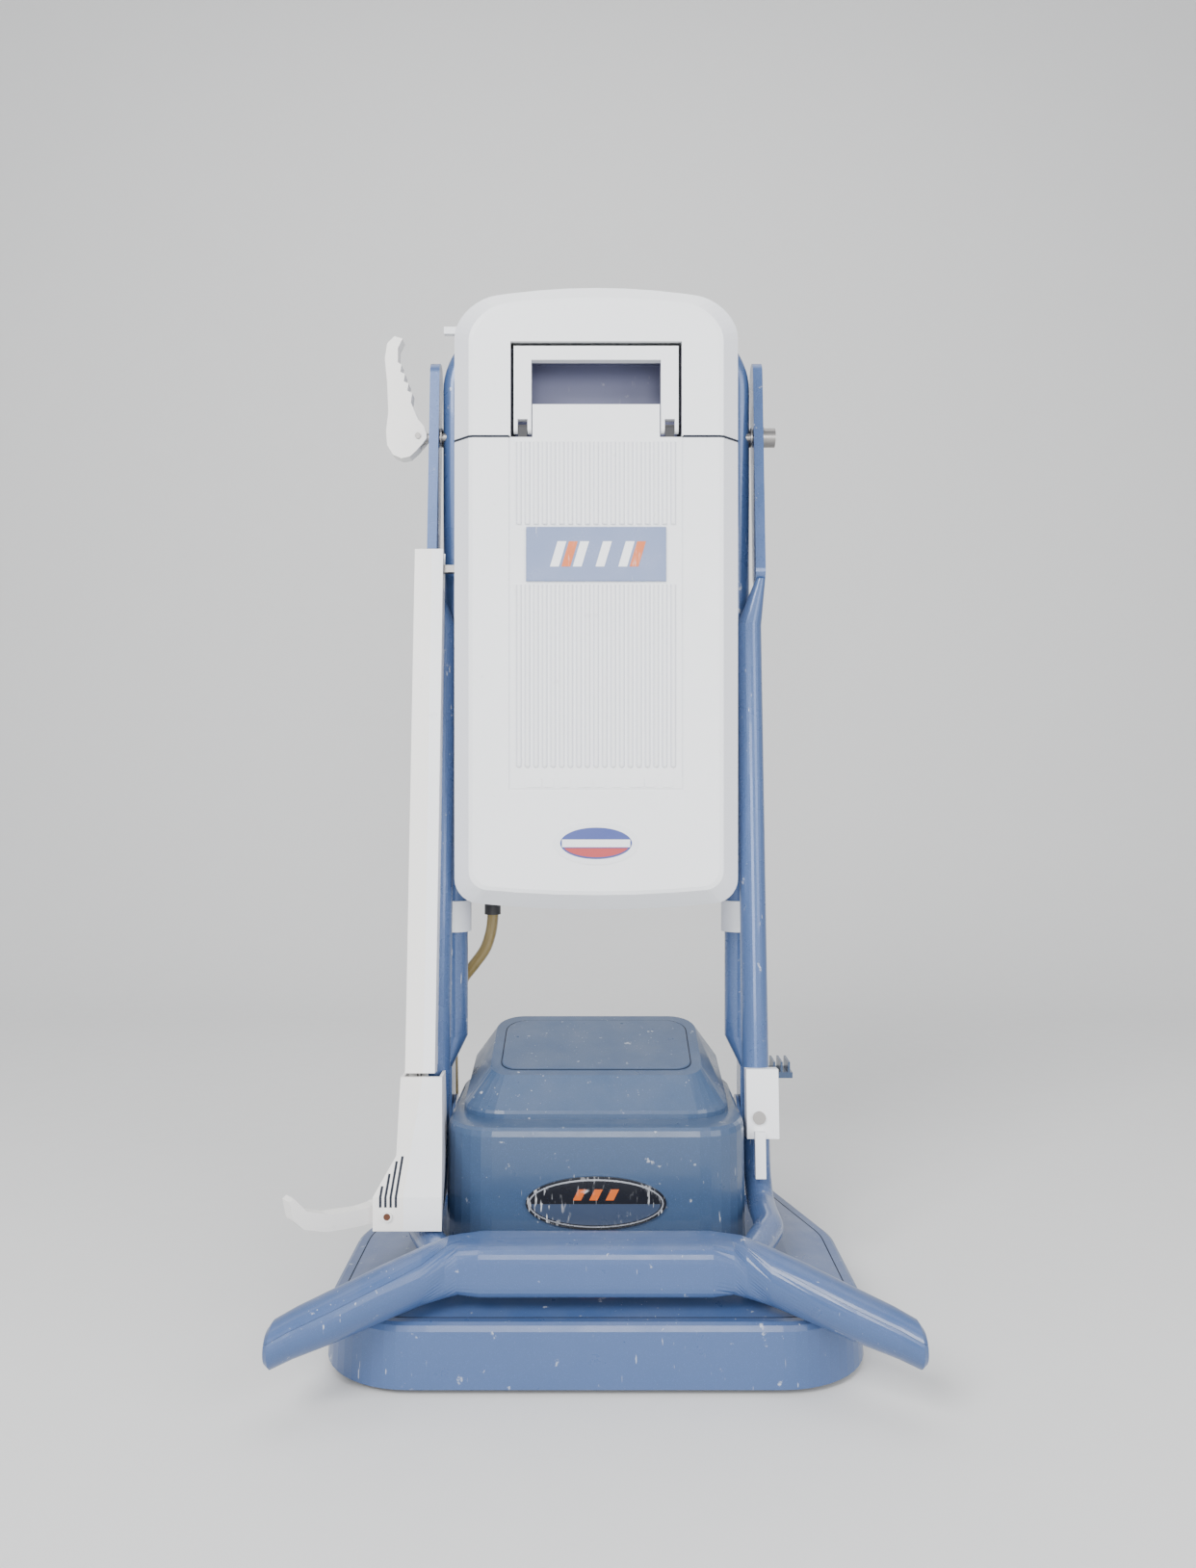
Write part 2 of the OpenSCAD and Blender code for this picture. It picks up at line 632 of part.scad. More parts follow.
elbow_at = [-foot_x - 1, frame_y + 40];
module hose_elbow() {
    color(black) translate([each elbow_at, deck_top - 8]) difference() {
        union() {
            cylinder(h = 26, r = hose_r + 2 - fit);
            translate([0, 0, 8.2]) cylinder(h = 3, r = hose_r + 5);
        }
        translate([0, 0, -1]) cylinder(h = 30, r = hose_r - 1);
        translate([0, 0, 16]) cylinder(h = 30, r = hose_r + fit);
    }
}

// ---------------------------------------------------------------- frame

foot_round = tilt_z + 68;        // where a leg stops being round
foot_flat = tilt_z + 44;         // where a leg's foot is flat
fold_y = frame_y - 4;
screw_z = [553, 362];

module frame_path(r) {
    pipe([[-leg_x, frame_y, foot_round], [-leg_x, frame_y, frame_top - tube_r],
          [leg_x, frame_y, frame_top - tube_r], [leg_x, frame_y, foot_round]], frame_corner, r);
}

module frame_tube() {
    color(blue) difference() {
        union() {
            frame_path(tube_r);
            for (s = [-1, 1]) {
                flatten(s * leg_x, s * foot_x, frame_y, foot_round, foot_flat, flat_t, flat_w);
                translate([s * foot_x - flat_t / 2, frame_y - flat_w / 2, tilt_z])
                    cube([flat_t, flat_w, foot_flat - tilt_z + eps]);
                x_rod(s * foot_x - flat_t / 2, s * foot_x + flat_t / 2, frame_y, tilt_z, flat_w / 2);
            }
        }
        frame_path(tube_r - tube_wall);
        for (s = [-1, 1]) {
            x_rod(s * foot_x - 10, s * foot_x + 10, frame_y, tilt_z, bolt_r + fit);
            x_rod(s * leg_x - 20, s * leg_x + 20, fold_y, fold_z, bolt_r + fit);
            for (z = screw_z) x_rod(s * leg_x - 20, s * leg_x + 20, frame_y, z, screw_r + fit);
        }
    }
}
screw_r = 2.2;

module frame_collars() {
    color(white) for (s = [-1, 1]) translate([s * leg_x, frame_y, tank_bottom - 24]) difference() {
        cylinder(h = 26, r = tube_r + 3);
        translate([0, 0, -1]) cylinder(h = 30, r = tube_r + fit);
    }
}

module tank_screws() {
    color(steel) for (s = [-1, 1]) for (z = screw_z) {
        a = s * (tank_rear_half - 6);
        b = s * (leg_x + tube_r + 0.2);
        x_rod(min(a, b), max(a, b), frame_y, z, screw_r);
        x_rod(min(b, b + s * 2.5), max(b, b + s * 2.5), frame_y, z, 5);
    }
}

// ---------------------------------------------------------------- tank

tank_half = leg_x - 6;
tank_back = frame_y - 14;
tank_rear_half = leg_x - tube_r - 6;
tank_deep = frame_y + 54;
rear_floor = tank_bottom + 22;
rear_roof = lid_z + 62;
crown_low = 7;
crown_high = 12;
function bend_low(p, z0, z1) = [p[0], p[1] + crown_low * pow(p[0] / tank_half,
    2) * (z1 - p[1]) / (z1 - z0)];
function bend_high(p, z0, z1) = [p[0], p[1] - crown_high * pow(p[0] / tank_half, 2) * max(0,
    p[1] - z0 - 50) / (z1 - z0 - 50)];
function tank_ring(d, z1) =
    let (h = tank_half - d, z0 = tank_bottom + d)
    [for (p = concat(round_rect(-h, z0, h, z1, 18 - d / 3, 0.5),
        [[-h * 0.6, z0], [-h * 0.3, z0], [0, z0], [h * 0.3, z0], [h * 0.6, z0]])) bend_low(p, z0, z1)];
function lid_ring(d) =
    let (h = tank_half - d, z0 = lid_z + 1, z1 = lid_top - d)
    [for (p = concat([for (x = [-h, h]) [x, z0]],
        arc([h - 34 + d / 3, z1 - 34 + d / 3], 34 - d / 3, 0, 90, 9),
        [for (k = [0.6, 0.4, 0.2, 0, -0.2, -0.4, -0.6]) [h * k, z1]],
            arc([-h + 34 - d / 3, z1 - 34 + d / 3], 34 - d / 3, 90, 180, 9))) bend_high(p, z0, z1)];

tab_half = 50.5;
tab_h = 26;
module tank_body() {
    panel_half = rib_pitch * rib_count / 2 + 4;
    color(white) {
        difference() {
            union() {
                loft([at_y(tank_ring(0, lid_z), tank_back + 1),
                    at_y(tank_ring(0, lid_z), tank_front + face_depth),
                      at_y(tank_ring(face_edge * 0.8, lid_z), tank_front + 1),
                          at_y(tank_ring(face_edge, lid_z), tank_front)]);
                translate([0, tank_deep, 0]) rotate([90, 0, 0]) linear_extrude(tank_deep - tank_back - 0.6)
                    polygon(round_rect(-tank_rear_half, rear_floor, tank_rear_half, rear_roof, 12, 8));
            }
            // front chamber, open at the lid
            loft([at_y(tank_ring(tank_wall, lid_z + 2), tank_back - tank_wall),
                  at_y(tank_ring(tank_wall, lid_z + 2), tank_front + face_depth + 1),
                  at_y(tank_ring(face_edge + 1, lid_z + 2), tank_front + tank_wall + 1)]);
            // rear chamber between the legs, and the way through to it
            translate([0, tank_deep - tank_wall, 0]) rotate([90, 0, 0])
                linear_extrude(tank_deep - tank_back - 0.6 - 2 * tank_wall)
                    polygon(round_rect(-tank_rear_half + tank_wall, rear_floor + tank_wall,
                        tank_rear_half - tank_wall, rear_roof - tank_wall, 10, 6));
            translate([-80, tank_back - 8, rear_floor + 10]) cube([160, 20, lid_z - rear_floor - 24]);
            translate([each valve_at, rear_floor - 1]) cylinder(h = tank_wall + 2, r = seat_r);
            translate([each valve_at, rear_roof - tank_wall - 1])
                cylinder(h = tank_wall + 2, r = rod_r + 2 * fit);
            for (s = [-1, 1]) for (z = screw_z) x_rod(min(s * 80, s * 110), max(s * 80, s * 110), frame_y,
                z, screw_r);
            // grooves round the ribbed panel
            for (s = [-1, 1]) translate([s * panel_half - 0.7, tank_front - 1, rib_z0 - 20])
                cube([1.4, 1.8, lid_z - rib_z0 + 21]);
            translate([-panel_half, tank_front - 1, rib_z0 - 20]) cube([2 * panel_half, 1.8, 1.4]);
        }
        // ledge under the lid's front, and the tab in its notch
        difference() {
            translate([-notch_half + 1, tank_front + 2, lid_z - 12]) cube([2 * notch_half - 2, 14, 12]);
            translate([-tab_half - 3, tank_front + 12, lid_z - 6]) cube([2 * tab_half + 6, 20, 20]);
        }
        translate([-tab_half, tank_front, lid_z - 4]) cube([2 * tab_half, 5, tab_h + 4]);
        for (s = [-1, 1]) for (z = screw_z) difference() {
            x_rod(min(s * (tank_rear_half - 12), s * (tank_rear_half - 1)),
                max(s * (tank_rear_half - 12), s * (tank_rear_half - 1)), frame_y, z, 6);
            x_rod(min(s * (tank_rear_half - 9), s * 110), max(s * (tank_rear_half - 9), s * 110), frame_y,
                z, screw_r);
        }
        intersection() {
            for (k = [0:rib_count - 1]) let (x = (k - (rib_count - 1) / 2) * rib_pitch) {
                for (span = [[rib_z0, plate_mid - plate_half], [plate_mid + plate_half, lid_z - 4]])
                    translate([x, tank_front + 0.6, span[0]])
                        cylinder(h = span[1] - span[0], r = rib_r, $fn = 20);
                translate([x, tank_front + 0.6, rib_z0]) sphere(r = rib_r, $fn = 20);
            }
            translate([-150, tank_front - 5, 0]) cube([300, 7, 900]);
        }
    }
}
rib_pitch = 6.8;
rib_r = 2.4;
rib_z0 = 415;
plate_mid = 582;
plate_half = 24;
valve_at = [-90, frame_y + 18];
seat_r = 4.5;
rod_r = 3;

module name_plate() { color(blue) translate([-55.5, tank_front - 1.6, plate_mid - 21.5])
    cube([111, 1.6, 43]); }

module oval_sticker() { color(white) translate([0, tank_front, 353]) rotate([90, 0, 0]) scale([2, 1, 1])
    cylinder(h = 0.5, r = 17, $fn = fine); }

module outlet_fitting() {
    color(black) translate([each valve_at, 0]) difference() {
        union() {
            translate([0, 0, rear_floor - 18]) cylinder(h = 18, r = 10);
            translate([0, 0, rear_floor - 34]) cylinder(h = 17, r = hose_r + 2);
        }
        translate([0, 0, rear_floor - 14]) cylinder(h = 20, r = 8.2);
        translate([0, 0, rear_floor - 40]) cylinder(h = 40, r = hose_r - 1);
        translate([0, 0, rear_floor - 40]) cylinder(h = 20, r = hose_r + fit);
    }
}

valve_travel = 7;
arm_z = fold_z + 100;
module valve_rod() {
    color(white) translate([each valve_at, 0]) {
        translate([0, 0, rear_floor + 3]) cylinder(h = arm_z - rear_floor - 3, r = rod_r - fit);
        translate([0, 0, rear_floor - 3]) cylinder(h = 10, r = 2);
        translate([0, 0, rear_floor - 6]) cylinder(h = 5.7, r = 6);
        translate([0, 0, rear_roof + 14]) cylinder(h = 2.5, r = 7);
        translate([0, 0, arm_z - 5]) cylinder(h = 7, r = 5);
        translate([-leg_x - valve_at[0] - 12, -3, arm_z - 4]) cube([leg_x + valve_at[0] + 12, 6, 6]);
    }
}

// Wire coil: rings of points along a helix
module valve_spring() {
    turns = 4;
    steps = 14;
    span = 13.6 - 2 * 0.8 - 0.4;
    color(steel) translate([each valve_at, rear_roof + 1]) loft([for (k = [0:turns * steps])
        let (a = k * 360 / steps, z = span * k / (turns * steps) + 0.2)
        [for (j = [0:7]) let (t = -j * 45) [(5 + 0.8 * cos(t)) * cos(a), (5 + 0.8 * cos(t)) * sin(a),
            z + 0.8 * sin(t)]]]);
}

hose_line = [[each valve_at, rear_floor - 22], [each valve_at, rear_floor - 30],
    [each valve_at, rear_floor - 38],
             [-92, 99, 270], [-97, 100, 256], [-107, 101, 242], [-117, 103, 228], [-123, 105, 205],
                 [-126, 107, 170], [-126, 111, 130],
             [each elbow_at, deck_top + 36], [each elbow_at, deck_top + 20],
                 [each elbow_at, deck_top + 10]];
module drain_hose() {
    n = len(hose_line) - 1;
    fine_line = [for (i = [0:n - 1]) for (k = [0:4])
        let (t = k / 5, p0 = hose_line[max(0, i - 1)], p1 = hose_line[i],
        p2 = hose_line[i + 1], p3 = hose_line[min(n, i + 2)])
        0.5 * (2 * p1 + (p2 - p0) * t + (2 * p0 - 5 * p1 + 4 * p2 - p3) * t * t
            + (3 * p1 - p0 - 3 * p2 + p3) * t * t * t)];
    line = concat(fine_line, [hose_line[n]]);
    color([0.72, 0.62, 0.35]) sweep(line, hose_r - fit, 12, [0, 1, 0]);
}

// Lid over the front chamber, with a notch for the bail
notch_half = 68;
notch_h = 76;
notch_y = 10;
module tank_lid() {
    color(white) difference() {
        loft([at_y(lid_ring(1.5), tank_back), at_y(lid_ring(0), tank_back - 2),
            at_y(lid_ring(0), tank_front + face_depth),
              at_y(lid_ring(face_edge * 0.8), tank_front + 1), at_y(lid_ring(face_edge), tank_front)]);
        difference() {
            loft([at_y(lid_ring(tank_wall), tank_back - tank_wall),
                at_y(lid_ring(tank_wall), tank_front + face_depth + 1),
                  at_y(lid_ring(face_edge + 1), tank_front + tank_wall + 1)]);
            translate([-200, 0, lid_z]) cube([400, 200, 4]);
        }
        loft([at_y(foot_ring(tank_wall), tank_back - tank_wall),
            at_y(foot_ring(tank_wall), tank_front + tank_wall + 11)]);
        translate([-notch_half, tank_front - 5, lid_z])
            cube([2 * notch_half, 5 + cup_y + 0.2 - tank_front, notch_h]);
        translate([-notch_half, tank_front - 5, lid_z])
            cube([2 * notch_half, cup_back - tank_front + 6, notch_h - 1]);
    }
}
function foot_ring(d) = let (h = tank_half - d) [[-h, lid_z], [h, lid_z], [h, lid_z + 6], [-h, lid_z + 6]];
cup_y = 22;
cup_back = 54;

module finger_cup() {
    color(lilac) translate([0, 0, lid_z + 1]) difference() {
        translate([-notch_half, cup_y, 1]) cube([2 * notch_half, cup_back - cup_y, notch_h - 3]);
        translate([-notch_half + 3, cup_y - 1, 4])
            cube([2 * notch_half - 6, cup_back - cup_y - 2, notch_h - 9]);
    }
}

bail_y = tank_front + 6;
bail_z = lid_z + 8;
bail_half = 65.5;
leg_w = 14;
module bail_handle() {
    color(lilac) difference() {
        union() {
            translate([-bail_half, bail_y - 4, bail_z]) cube([2 * bail_half, 8, 65]);
            for (s = [-1, 1]) x_rod(min(s * bail_half, s * (bail_half - leg_w)),
                max(s * bail_half, s * (bail_half - leg_w)), bail_y, bail_z, 4);
        }
        translate([-bail_half + leg_w, bail_y - 10, bail_z - 5])
            cube([2 * (bail_half - leg_w), 20, 5 + 65 - 11]);
        for (s = [-1, 1]) {
            translate([s * 58.5 - 4, bail_y - 6, bail_z - 8]) cube([8, 12, 15]);
            x_rod(s * 58.5 - 9, s * 58.5 + 9, bail_y, bail_z, 2 + fit);
        }
    }
}

module bail_knuckles() {
    color(black) for (s = [-1, 1]) {
        translate([s * 58.5 - 3.5, bail_y - 3.5, lid_z]) cube([7, 7, 8]);
        x_rod(s * 58.5 - 3.5, s * 58.5 + 3.5, bail_y, bail_z, 3.5);
        x_rod(s * 58.5 - 6.5, s * 58.5 + 6.5, bail_y, bail_z, 2);
    }
}

// ---------------------------------------------------------------- handle

hand_x = leg_x + 2 * tube_r - 14;                      // handle tubes beside the tank
hand_flat_x = leg_x + tube_r + 6;        // middle of their flattened ends
pivot = [0, fold_y, fold_z];
function leaned(x, y, down) = [x, fold_y + y * cos(lean) - down * sin(lean),
    fold_z - y * sin(lean) - down * cos(lean)];
flat_down = 126;
round_down = 164;
flat_up = 65;
end_w = 2 * tube_r + 3;
foot_z = 76;
foot_y = fold_y - (fold_z - foot_z) * tan(lean);
grip_y = -128;
module in_lean() { translate(pivot) rotate([-lean, 0, 0]) children(); }
module handle_path(s, r, past = 0) {
    turn = [s * hand_x, -66, foot_z];
    end = [s * 104, grip_y + 4, foot_z];
    sweep(bent([leaned(s * hand_x, 0, round_down - 1 - past), [s * hand_x, foot_y, foot_z], turn,
        end + past * unit(end - turn)], foot_bend), r, 32, [1, 0, 0]);
}

module handle_tube(s) {
    color(blue) difference() {
        union() {
            handle_path(s, tube_r);
            in_lean() {
                flatten(s * hand_x, s * hand_flat_x, 0, -round_down, -flat_down, flat_t, end_w);
                flat_bar(s * hand_flat_x, 0, -flat_down - 3, flat_up, flat_t, end_w);
            }
        }
        handle_path(s, tube_r - tube_wall, 0.5);
        x_rod(s * hand_flat_x - 10, s * hand_flat_x + 10, fold_y, fold_z, bolt_r + fit);
    }
}

function grip_stations() = [[0, grip_y, 75, 20, 17.5, 88, 5], [78, grip_y, 75, 20, 17.5, 88, 5],
    [92, grip_y, 75, 19, 16.5, 80, 4],
    [100, -130, 74, 18.5, 18, 62, 3], [115, -138, 71.5, 19, 18.5, 40, 2],
        [140, -152, 65.5, 19, 17.6, 32, 2], [165, -167, 59, 18, 16.6, 29, 2],
    [190, -181, 53, 17, 15, 26, 2], [grip_w / 2 - 3, -189.5, 49.5, 16, 14.2, 25, 2],
        [grip_w / 2, -191, 49, 12, 10.5, 25, 2]];
function grip_radius(g, t) = pow(pow(abs(cos(t)) / g[3], g[6]) + pow(abs(sin(t)) / g[4], g[6]), -1 / g[6]);
function grip_half(g, s, front) =
    let (a0 = front > 0 ? 180 - g[5] : -g[5], shift = seam / 2 * [cos(a0 + 90), sin(a0 + 90)])
    [for (k = [0:24]) let (t = a0 + k * 7.5, r = grip_radius(g, t))
        [s * g[0], g[1] + r * cos(t) + shift[0], g[2] + r * sin(t) + shift[1]]];
module grip(front) {
    g = grip_stations();
    n = len(g) - 1;
    color(blue) difference() {
        loft(concat([for (k = [n:-1:1]) grip_half(g[k], -1, front)],
            [for (k = [0:n]) grip_half(g[k], 1, front)]), front == 0);
        for (s = [-1, 1]) handle_path(s, tube_r + fit, 0.3);
    }
}

// White channel in front of the left tube, with the push rod inside it
chan_x0 = -leg_x - 28;
chan_x1 = -leg_x - 5;
chan_y = -end_w / 2 - 0.3;
chan_d = 15;
chan_up = -106;
chan_down = -525;
module rod_channel() {
    color(white) in_lean() difference() {
        union() {
            translate([chan_x0, chan_y - chan_d, chan_down])
                cube([chan_x1 - chan_x0, chan_d, chan_up - chan_down]);
            // saddles on the tube
            for (z = [-200, -350, chan_down + 5]) translate([chan_x0 + 8, chan_y - 1, z])
                cube([chan_x1 - chan_x0 - 8, 6, 14]);
        }
        translate([-hand_x, 0, chan_down - 1]) cylinder(h = 360, r = tube_r + 0.02);
        translate([chan_x0 + 2, chan_y - chan_d + 2, chan_down - 1])
            cube([chan_x1 - chan_x0 - 4, chan_d - 4, chan_up - chan_down - 3]);
        translate([chan_x1 - 5, chan_y - chan_d + 4, chan_up - 32]) cube([8, chan_d - 6, 40]);
        translate([chan_x0 + 6, chan_y - chan_d + 5, chan_up - 8]) cube([10, chan_d - 9, 10]);
    }
}

rod_x = chan_x0 + 10;
rod_y = chan_y - chan_d / 2;
module push_rod() {
    knee = leaned(rod_x, rod_y, fold_z - 130);
    color(steel) {
        rod(leaned(rod_x, rod_y, -chan_up + 12), knee, 2);
        rod(knee, [rod_x, -72, 106.5], 2);
        translate(knee) sphere(r = 2.5);
        in_lean() translate([rod_x - 3, rod_y - 2.5, chan_up - 18]) cube([chan_x1 - rod_x + 12, 5, 6]);
    }
}

module side_plate(x0, x1, points) { translate([x0, 0, 0]) rotate([90, 0, 90]) linear_extrude(x1 - x0)
    polygon(points); }
// Wedge in the elbow of the left tube: [height, left, right, front, back] of its sections
house = [[88.5, -leg_x - 35.5, -leg_x + 12.5, -106, -22], [112, -leg_x - 35.5, -leg_x + 12.5, -106, -6],
    [132, -leg_x - 24, -leg_x + 9, -76.6, -2], [173.5, -leg_x - 31, -leg_x + 1, -16, 6]];
house_wall = 2.5;
house_back_x = -leg_x + 3;               // right side of the wedge at its back, beside the hood
function house_ring(h, z, inset, front_inset, back_inset) = let (x0 = h[1] + inset, x1 = h[2] - inset)
    at_z([[x1, h[3] + front_inset], [min(h[2], house_back_x) - inset, h[4] - back_inset],
        [x0, h[4] - back_inset], [x0, h[3] + front_inset]], z);
module trigger_housing() {
    color(white) difference() {
        loft([for (h = house) house_ring(h, h[0], 0, 0, 0)]);
        loft([for (i = [0:3])
            house_ring(house[i], house[i][0] + (i == 0 ? house_wall : i == 3 ? 1 : 0), house_wall, 4, 1)]);
        handle_path(-1, tube_r + 0.2);
        in_lean() translate([-hand_x, 0, chan_down - 40]) cylinder(h = 100, r = tube_r + 0.2);
        // room for the lever's hub and its inner arm, and the hole of its pin
        translate(boss) rotate([0, 0, swing]) {
            translate([-20, -boss_w / 2 - 0.6, -8.2]) cube([30, boss_w + 1.2, 17.7]);
            translate([9, -boss_w / 2 - 0.6, -7.2]) cube([20, boss_w + 1.2, 20.2]);
        }
        rod(boss, boss + 24 * boss_axis, boss_r + fit);
    }
}

boss = [-leg_x - 36, -94, 99];
swing = 42.5;                            // lever's direction from above
boss_axis = [sin(swing), -cos(swing), 0];
boss_r = 2.5;                            // radius of the pin that the lever swings on
boss_w = 10;
boss_out = 15.8;                         // from the lever's middle to the pin's end in the front wall
module trigger_lever() {
    color(white) translate(boss) rotate([0, 0, swing]) rotate([90, 0, 0]) translate([0, 0, -boss_w / 2])
        difference() {
        union() {
            cylinder(h = boss_w, r = 6.5);
            linear_extrude(boss_w) polygon([[2, 6], [22, 4.5], [26, 2], [24, -3], [2, -6], [-14, -6.5],
                [-40, -4], [-58, 2], [-66, 10],
                [-69, 23], [-66, 25], [-56, 14], [-40, 8], [-14, 5]]);
        }
        translate([0, 0, -1]) cylinder(h = boss_w + 2, r = boss_r + fit);
    }
}

module cord_hook() {
    color(white) in_lean() difference() {
        union() {
            translate([hand_x - 9.5, -tube_r - 8, -576]) cube([25, 8 + 6, 53]);
            translate([hand_x - 4, -tube_r - 14, -605]) cube([8, 6, 33]);
            translate([hand_x - 4, -tube_r - 14, -574]) cube([8, 8, 4]);
        }
        translate([hand_x, 0, -600]) cylinder(h = 90, r = tube_r + 0.02);
        translate([hand_x, 0, -560]) rotate([90, 0, 0]) cylinder(h = 60, r = 2);
    }
}

// Screw of the cord hook, and the pin that the trigger's lever swings on
module handle_pins() {
    color(steel) {
        rod(boss - (boss_w / 2 + 0.5) * boss_axis, boss + boss_out * boss_axis, boss_r);
        rod(boss - (boss_w / 2 + 2) * boss_axis, boss - (boss_w / 2 + 0.4) * boss_axis, boss_r + 1.5);
    }
    color(steel) in_lean() translate([hand_x, -tube_r - 8, -560]) rotate([90, 0, 0]) {
        cylinder(h = 1.8, r = 5);
        translate([0, 0, -5]) cylinder(h = 6, r = 2);
    }
}

// ---------------------------------------------------------------- bolts of the handle's pivots

module fold_bolt(s, far) {
    a = s * (leg_x - tube_r - 3);
    b = s * far;
    x_rod(min(a, b), max(a, b), fold_y, fold_z, bolt_r);
    x_rod(min(a, a + s * 2.8), max(a, a + s * 2.8), fold_y, fold_z, 7);
    w = s * (leg_x + tube_r + 0.1);
    x_rod(min(w, w + s * 1.2), max(w, w + s * 1.2), fold_y, fold_z, 8);
}
module fold_bolt_right() { color(steel) fold_bolt(1, hand_flat_x + flat_t / 2 + 8); }
cam_x = -hand_flat_x - flat_t / 2 - 10;
cam_w = 2 * bolt_r + 6;          // width of the cam lever along its pin
cam_pin_r = 2.5;
module fold_bolt_left() {
    color(steel) {
        fold_bolt(-1, -cam_x);
        translate([cam_x, fold_y + bolt_r, fold_z]) rotate([90, 0, 0]) cylinder(h = 2 * bolt_r, r = bolt_r + 2);
        translate([cam_x, fold_y + cam_w / 2 + 1, fold_z]) rotate([90, 0, 0])
            cylinder(h = cam_w + 2, r = cam_pin_r);
    }
}
module fold_knob() {
    color(steel) difference() {
        union() {
            x_rod(hand_flat_x + flat_t / 2 + 0.3, hand_flat_x + flat_t / 2 + 1.5, fold_y, fold_z, 9);
            x_rod(hand_flat_x + flat_t / 2 + 1.5, hand_flat_x + flat_t / 2 + 11, fold_y, fold_z, 8);
        }
        x_rod(hand_flat_x, hand_flat_x + flat_t / 2 + 8.1, fold_y, fold_z, bolt_r + 0.01);
    }
}

cam_slot = 2 * bolt_r + 0.4;     // slot in the lever for the end of the bolt
module cam_lever() {
    color(white) translate([cam_x, fold_y + cam_w / 2, fold_z]) rotate([90, 0, 0]) difference() {
        linear_extrude(cam_w) polygon([[7.2, 2], [7.2, -2], [4.6, -5.6], [-1, -12], [-7, -17.5], [-14, -19],
            [-21, -16], [-26, -8],
            [-27, 4], [-25, 20], [-26, 45], [-28, 65], [-26, 78], [-20, 84], [-13, 82], [-17, 74],
                [-17, 62], [-14, 60],
            [-15, 54], [-11, 52], [-12, 46], [-8, 44], [-9, 38], [-5, 36], [-6, 28], [0, 14], [5, 8]]);
        translate([0, 0, (cam_w - cam_slot) / 2]) cylinder(h = cam_slot, r = bolt_r + 5.5);
        translate([0, 0, -1]) cylinder(h = cam_w + 2, r = cam_pin_r + fit);
    }
}

// ---------------------------------------------------------------- nodes

module pivot_bracket_left() { pivot_bracket(-1); }
module pivot_bracket_right() { pivot_bracket(1); }
module gear_front_left() { brush_gear(0); }
module gear_front_right() { brush_gear(1); }
module gear_rear() { brush_gear(2); }
module brush_front_left() { brush_plate(0); }
module brush_front_right() { brush_plate(1); }
module brush_rear() { brush_plate(2); }
module bristles_front_left() { bristle_rings(0); }
module bristles_front_right() { bristle_rings(1); }
module bristles_rear() { bristle_rings(2); }
module wheel_left() { wheel(-1); }
module wheel_right() { wheel(1); }
module handle_tube_left() { handle_tube(-1); }
module handle_tube_right() { handle_tube(1); }
module grip_front() { grip(1); }
module grip_rear() { grip(0); }

skirt();
deck();
motor_hood();
hood_cap();
cap_panel();
head_badge();
gear_plate();
gear_cover();
plate_screws();
motor_housing();
motor_end_bell();
pivot_bracket_left();
pivot_bracket_right();
pivot_pins();
cord_gland();
hose_elbow();
wheel_axle();
motor_rotor();
motor_shaft();
cluster_gear();
gear_front_left();
gear_front_right();
gear_rear();
brush_front_left();
brush_front_right();
brush_rear();
bristles_front_left();
bristles_front_right();
bristles_rear();
wheel_left();
wheel_right();
release_pedal();
frame_tube();
frame_collars();
tank_body();
tank_screws();
name_plate();
oval_sticker();
outlet_fitting();
drain_hose();
fold_bolt_left();
fold_bolt_right();
fold_knob();
bail_knuckles();
tank_lid();
finger_cup();
bail_handle();
valve_rod();
valve_spring();
cam_lever();
handle_tube_left();
handle_tube_right();
grip_front();
grip_rear();
rod_channel();
trigger_housing();
trigger_lever();
push_rod();
cord_hook();
handle_pins();
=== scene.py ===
# Looks of the upright floor machine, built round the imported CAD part.
import math
import bpy
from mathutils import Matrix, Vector, geometry


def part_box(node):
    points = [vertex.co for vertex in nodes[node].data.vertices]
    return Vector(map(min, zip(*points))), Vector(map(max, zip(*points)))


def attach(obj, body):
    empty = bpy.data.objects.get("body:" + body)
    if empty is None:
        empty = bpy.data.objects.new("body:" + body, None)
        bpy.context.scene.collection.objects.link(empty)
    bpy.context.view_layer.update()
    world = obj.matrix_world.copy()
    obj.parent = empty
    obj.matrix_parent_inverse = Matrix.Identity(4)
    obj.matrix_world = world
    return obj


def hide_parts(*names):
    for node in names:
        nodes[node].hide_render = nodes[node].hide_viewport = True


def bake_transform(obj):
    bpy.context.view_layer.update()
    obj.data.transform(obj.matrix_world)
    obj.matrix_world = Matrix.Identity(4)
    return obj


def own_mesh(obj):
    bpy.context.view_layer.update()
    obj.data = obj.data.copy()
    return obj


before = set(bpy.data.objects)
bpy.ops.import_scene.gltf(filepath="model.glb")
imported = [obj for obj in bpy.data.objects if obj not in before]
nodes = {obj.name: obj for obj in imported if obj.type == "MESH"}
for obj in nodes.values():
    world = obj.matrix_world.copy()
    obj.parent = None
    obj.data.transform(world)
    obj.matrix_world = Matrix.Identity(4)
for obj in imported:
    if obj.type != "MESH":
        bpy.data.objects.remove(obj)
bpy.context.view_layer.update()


# ------------------------------------------------------------ materials

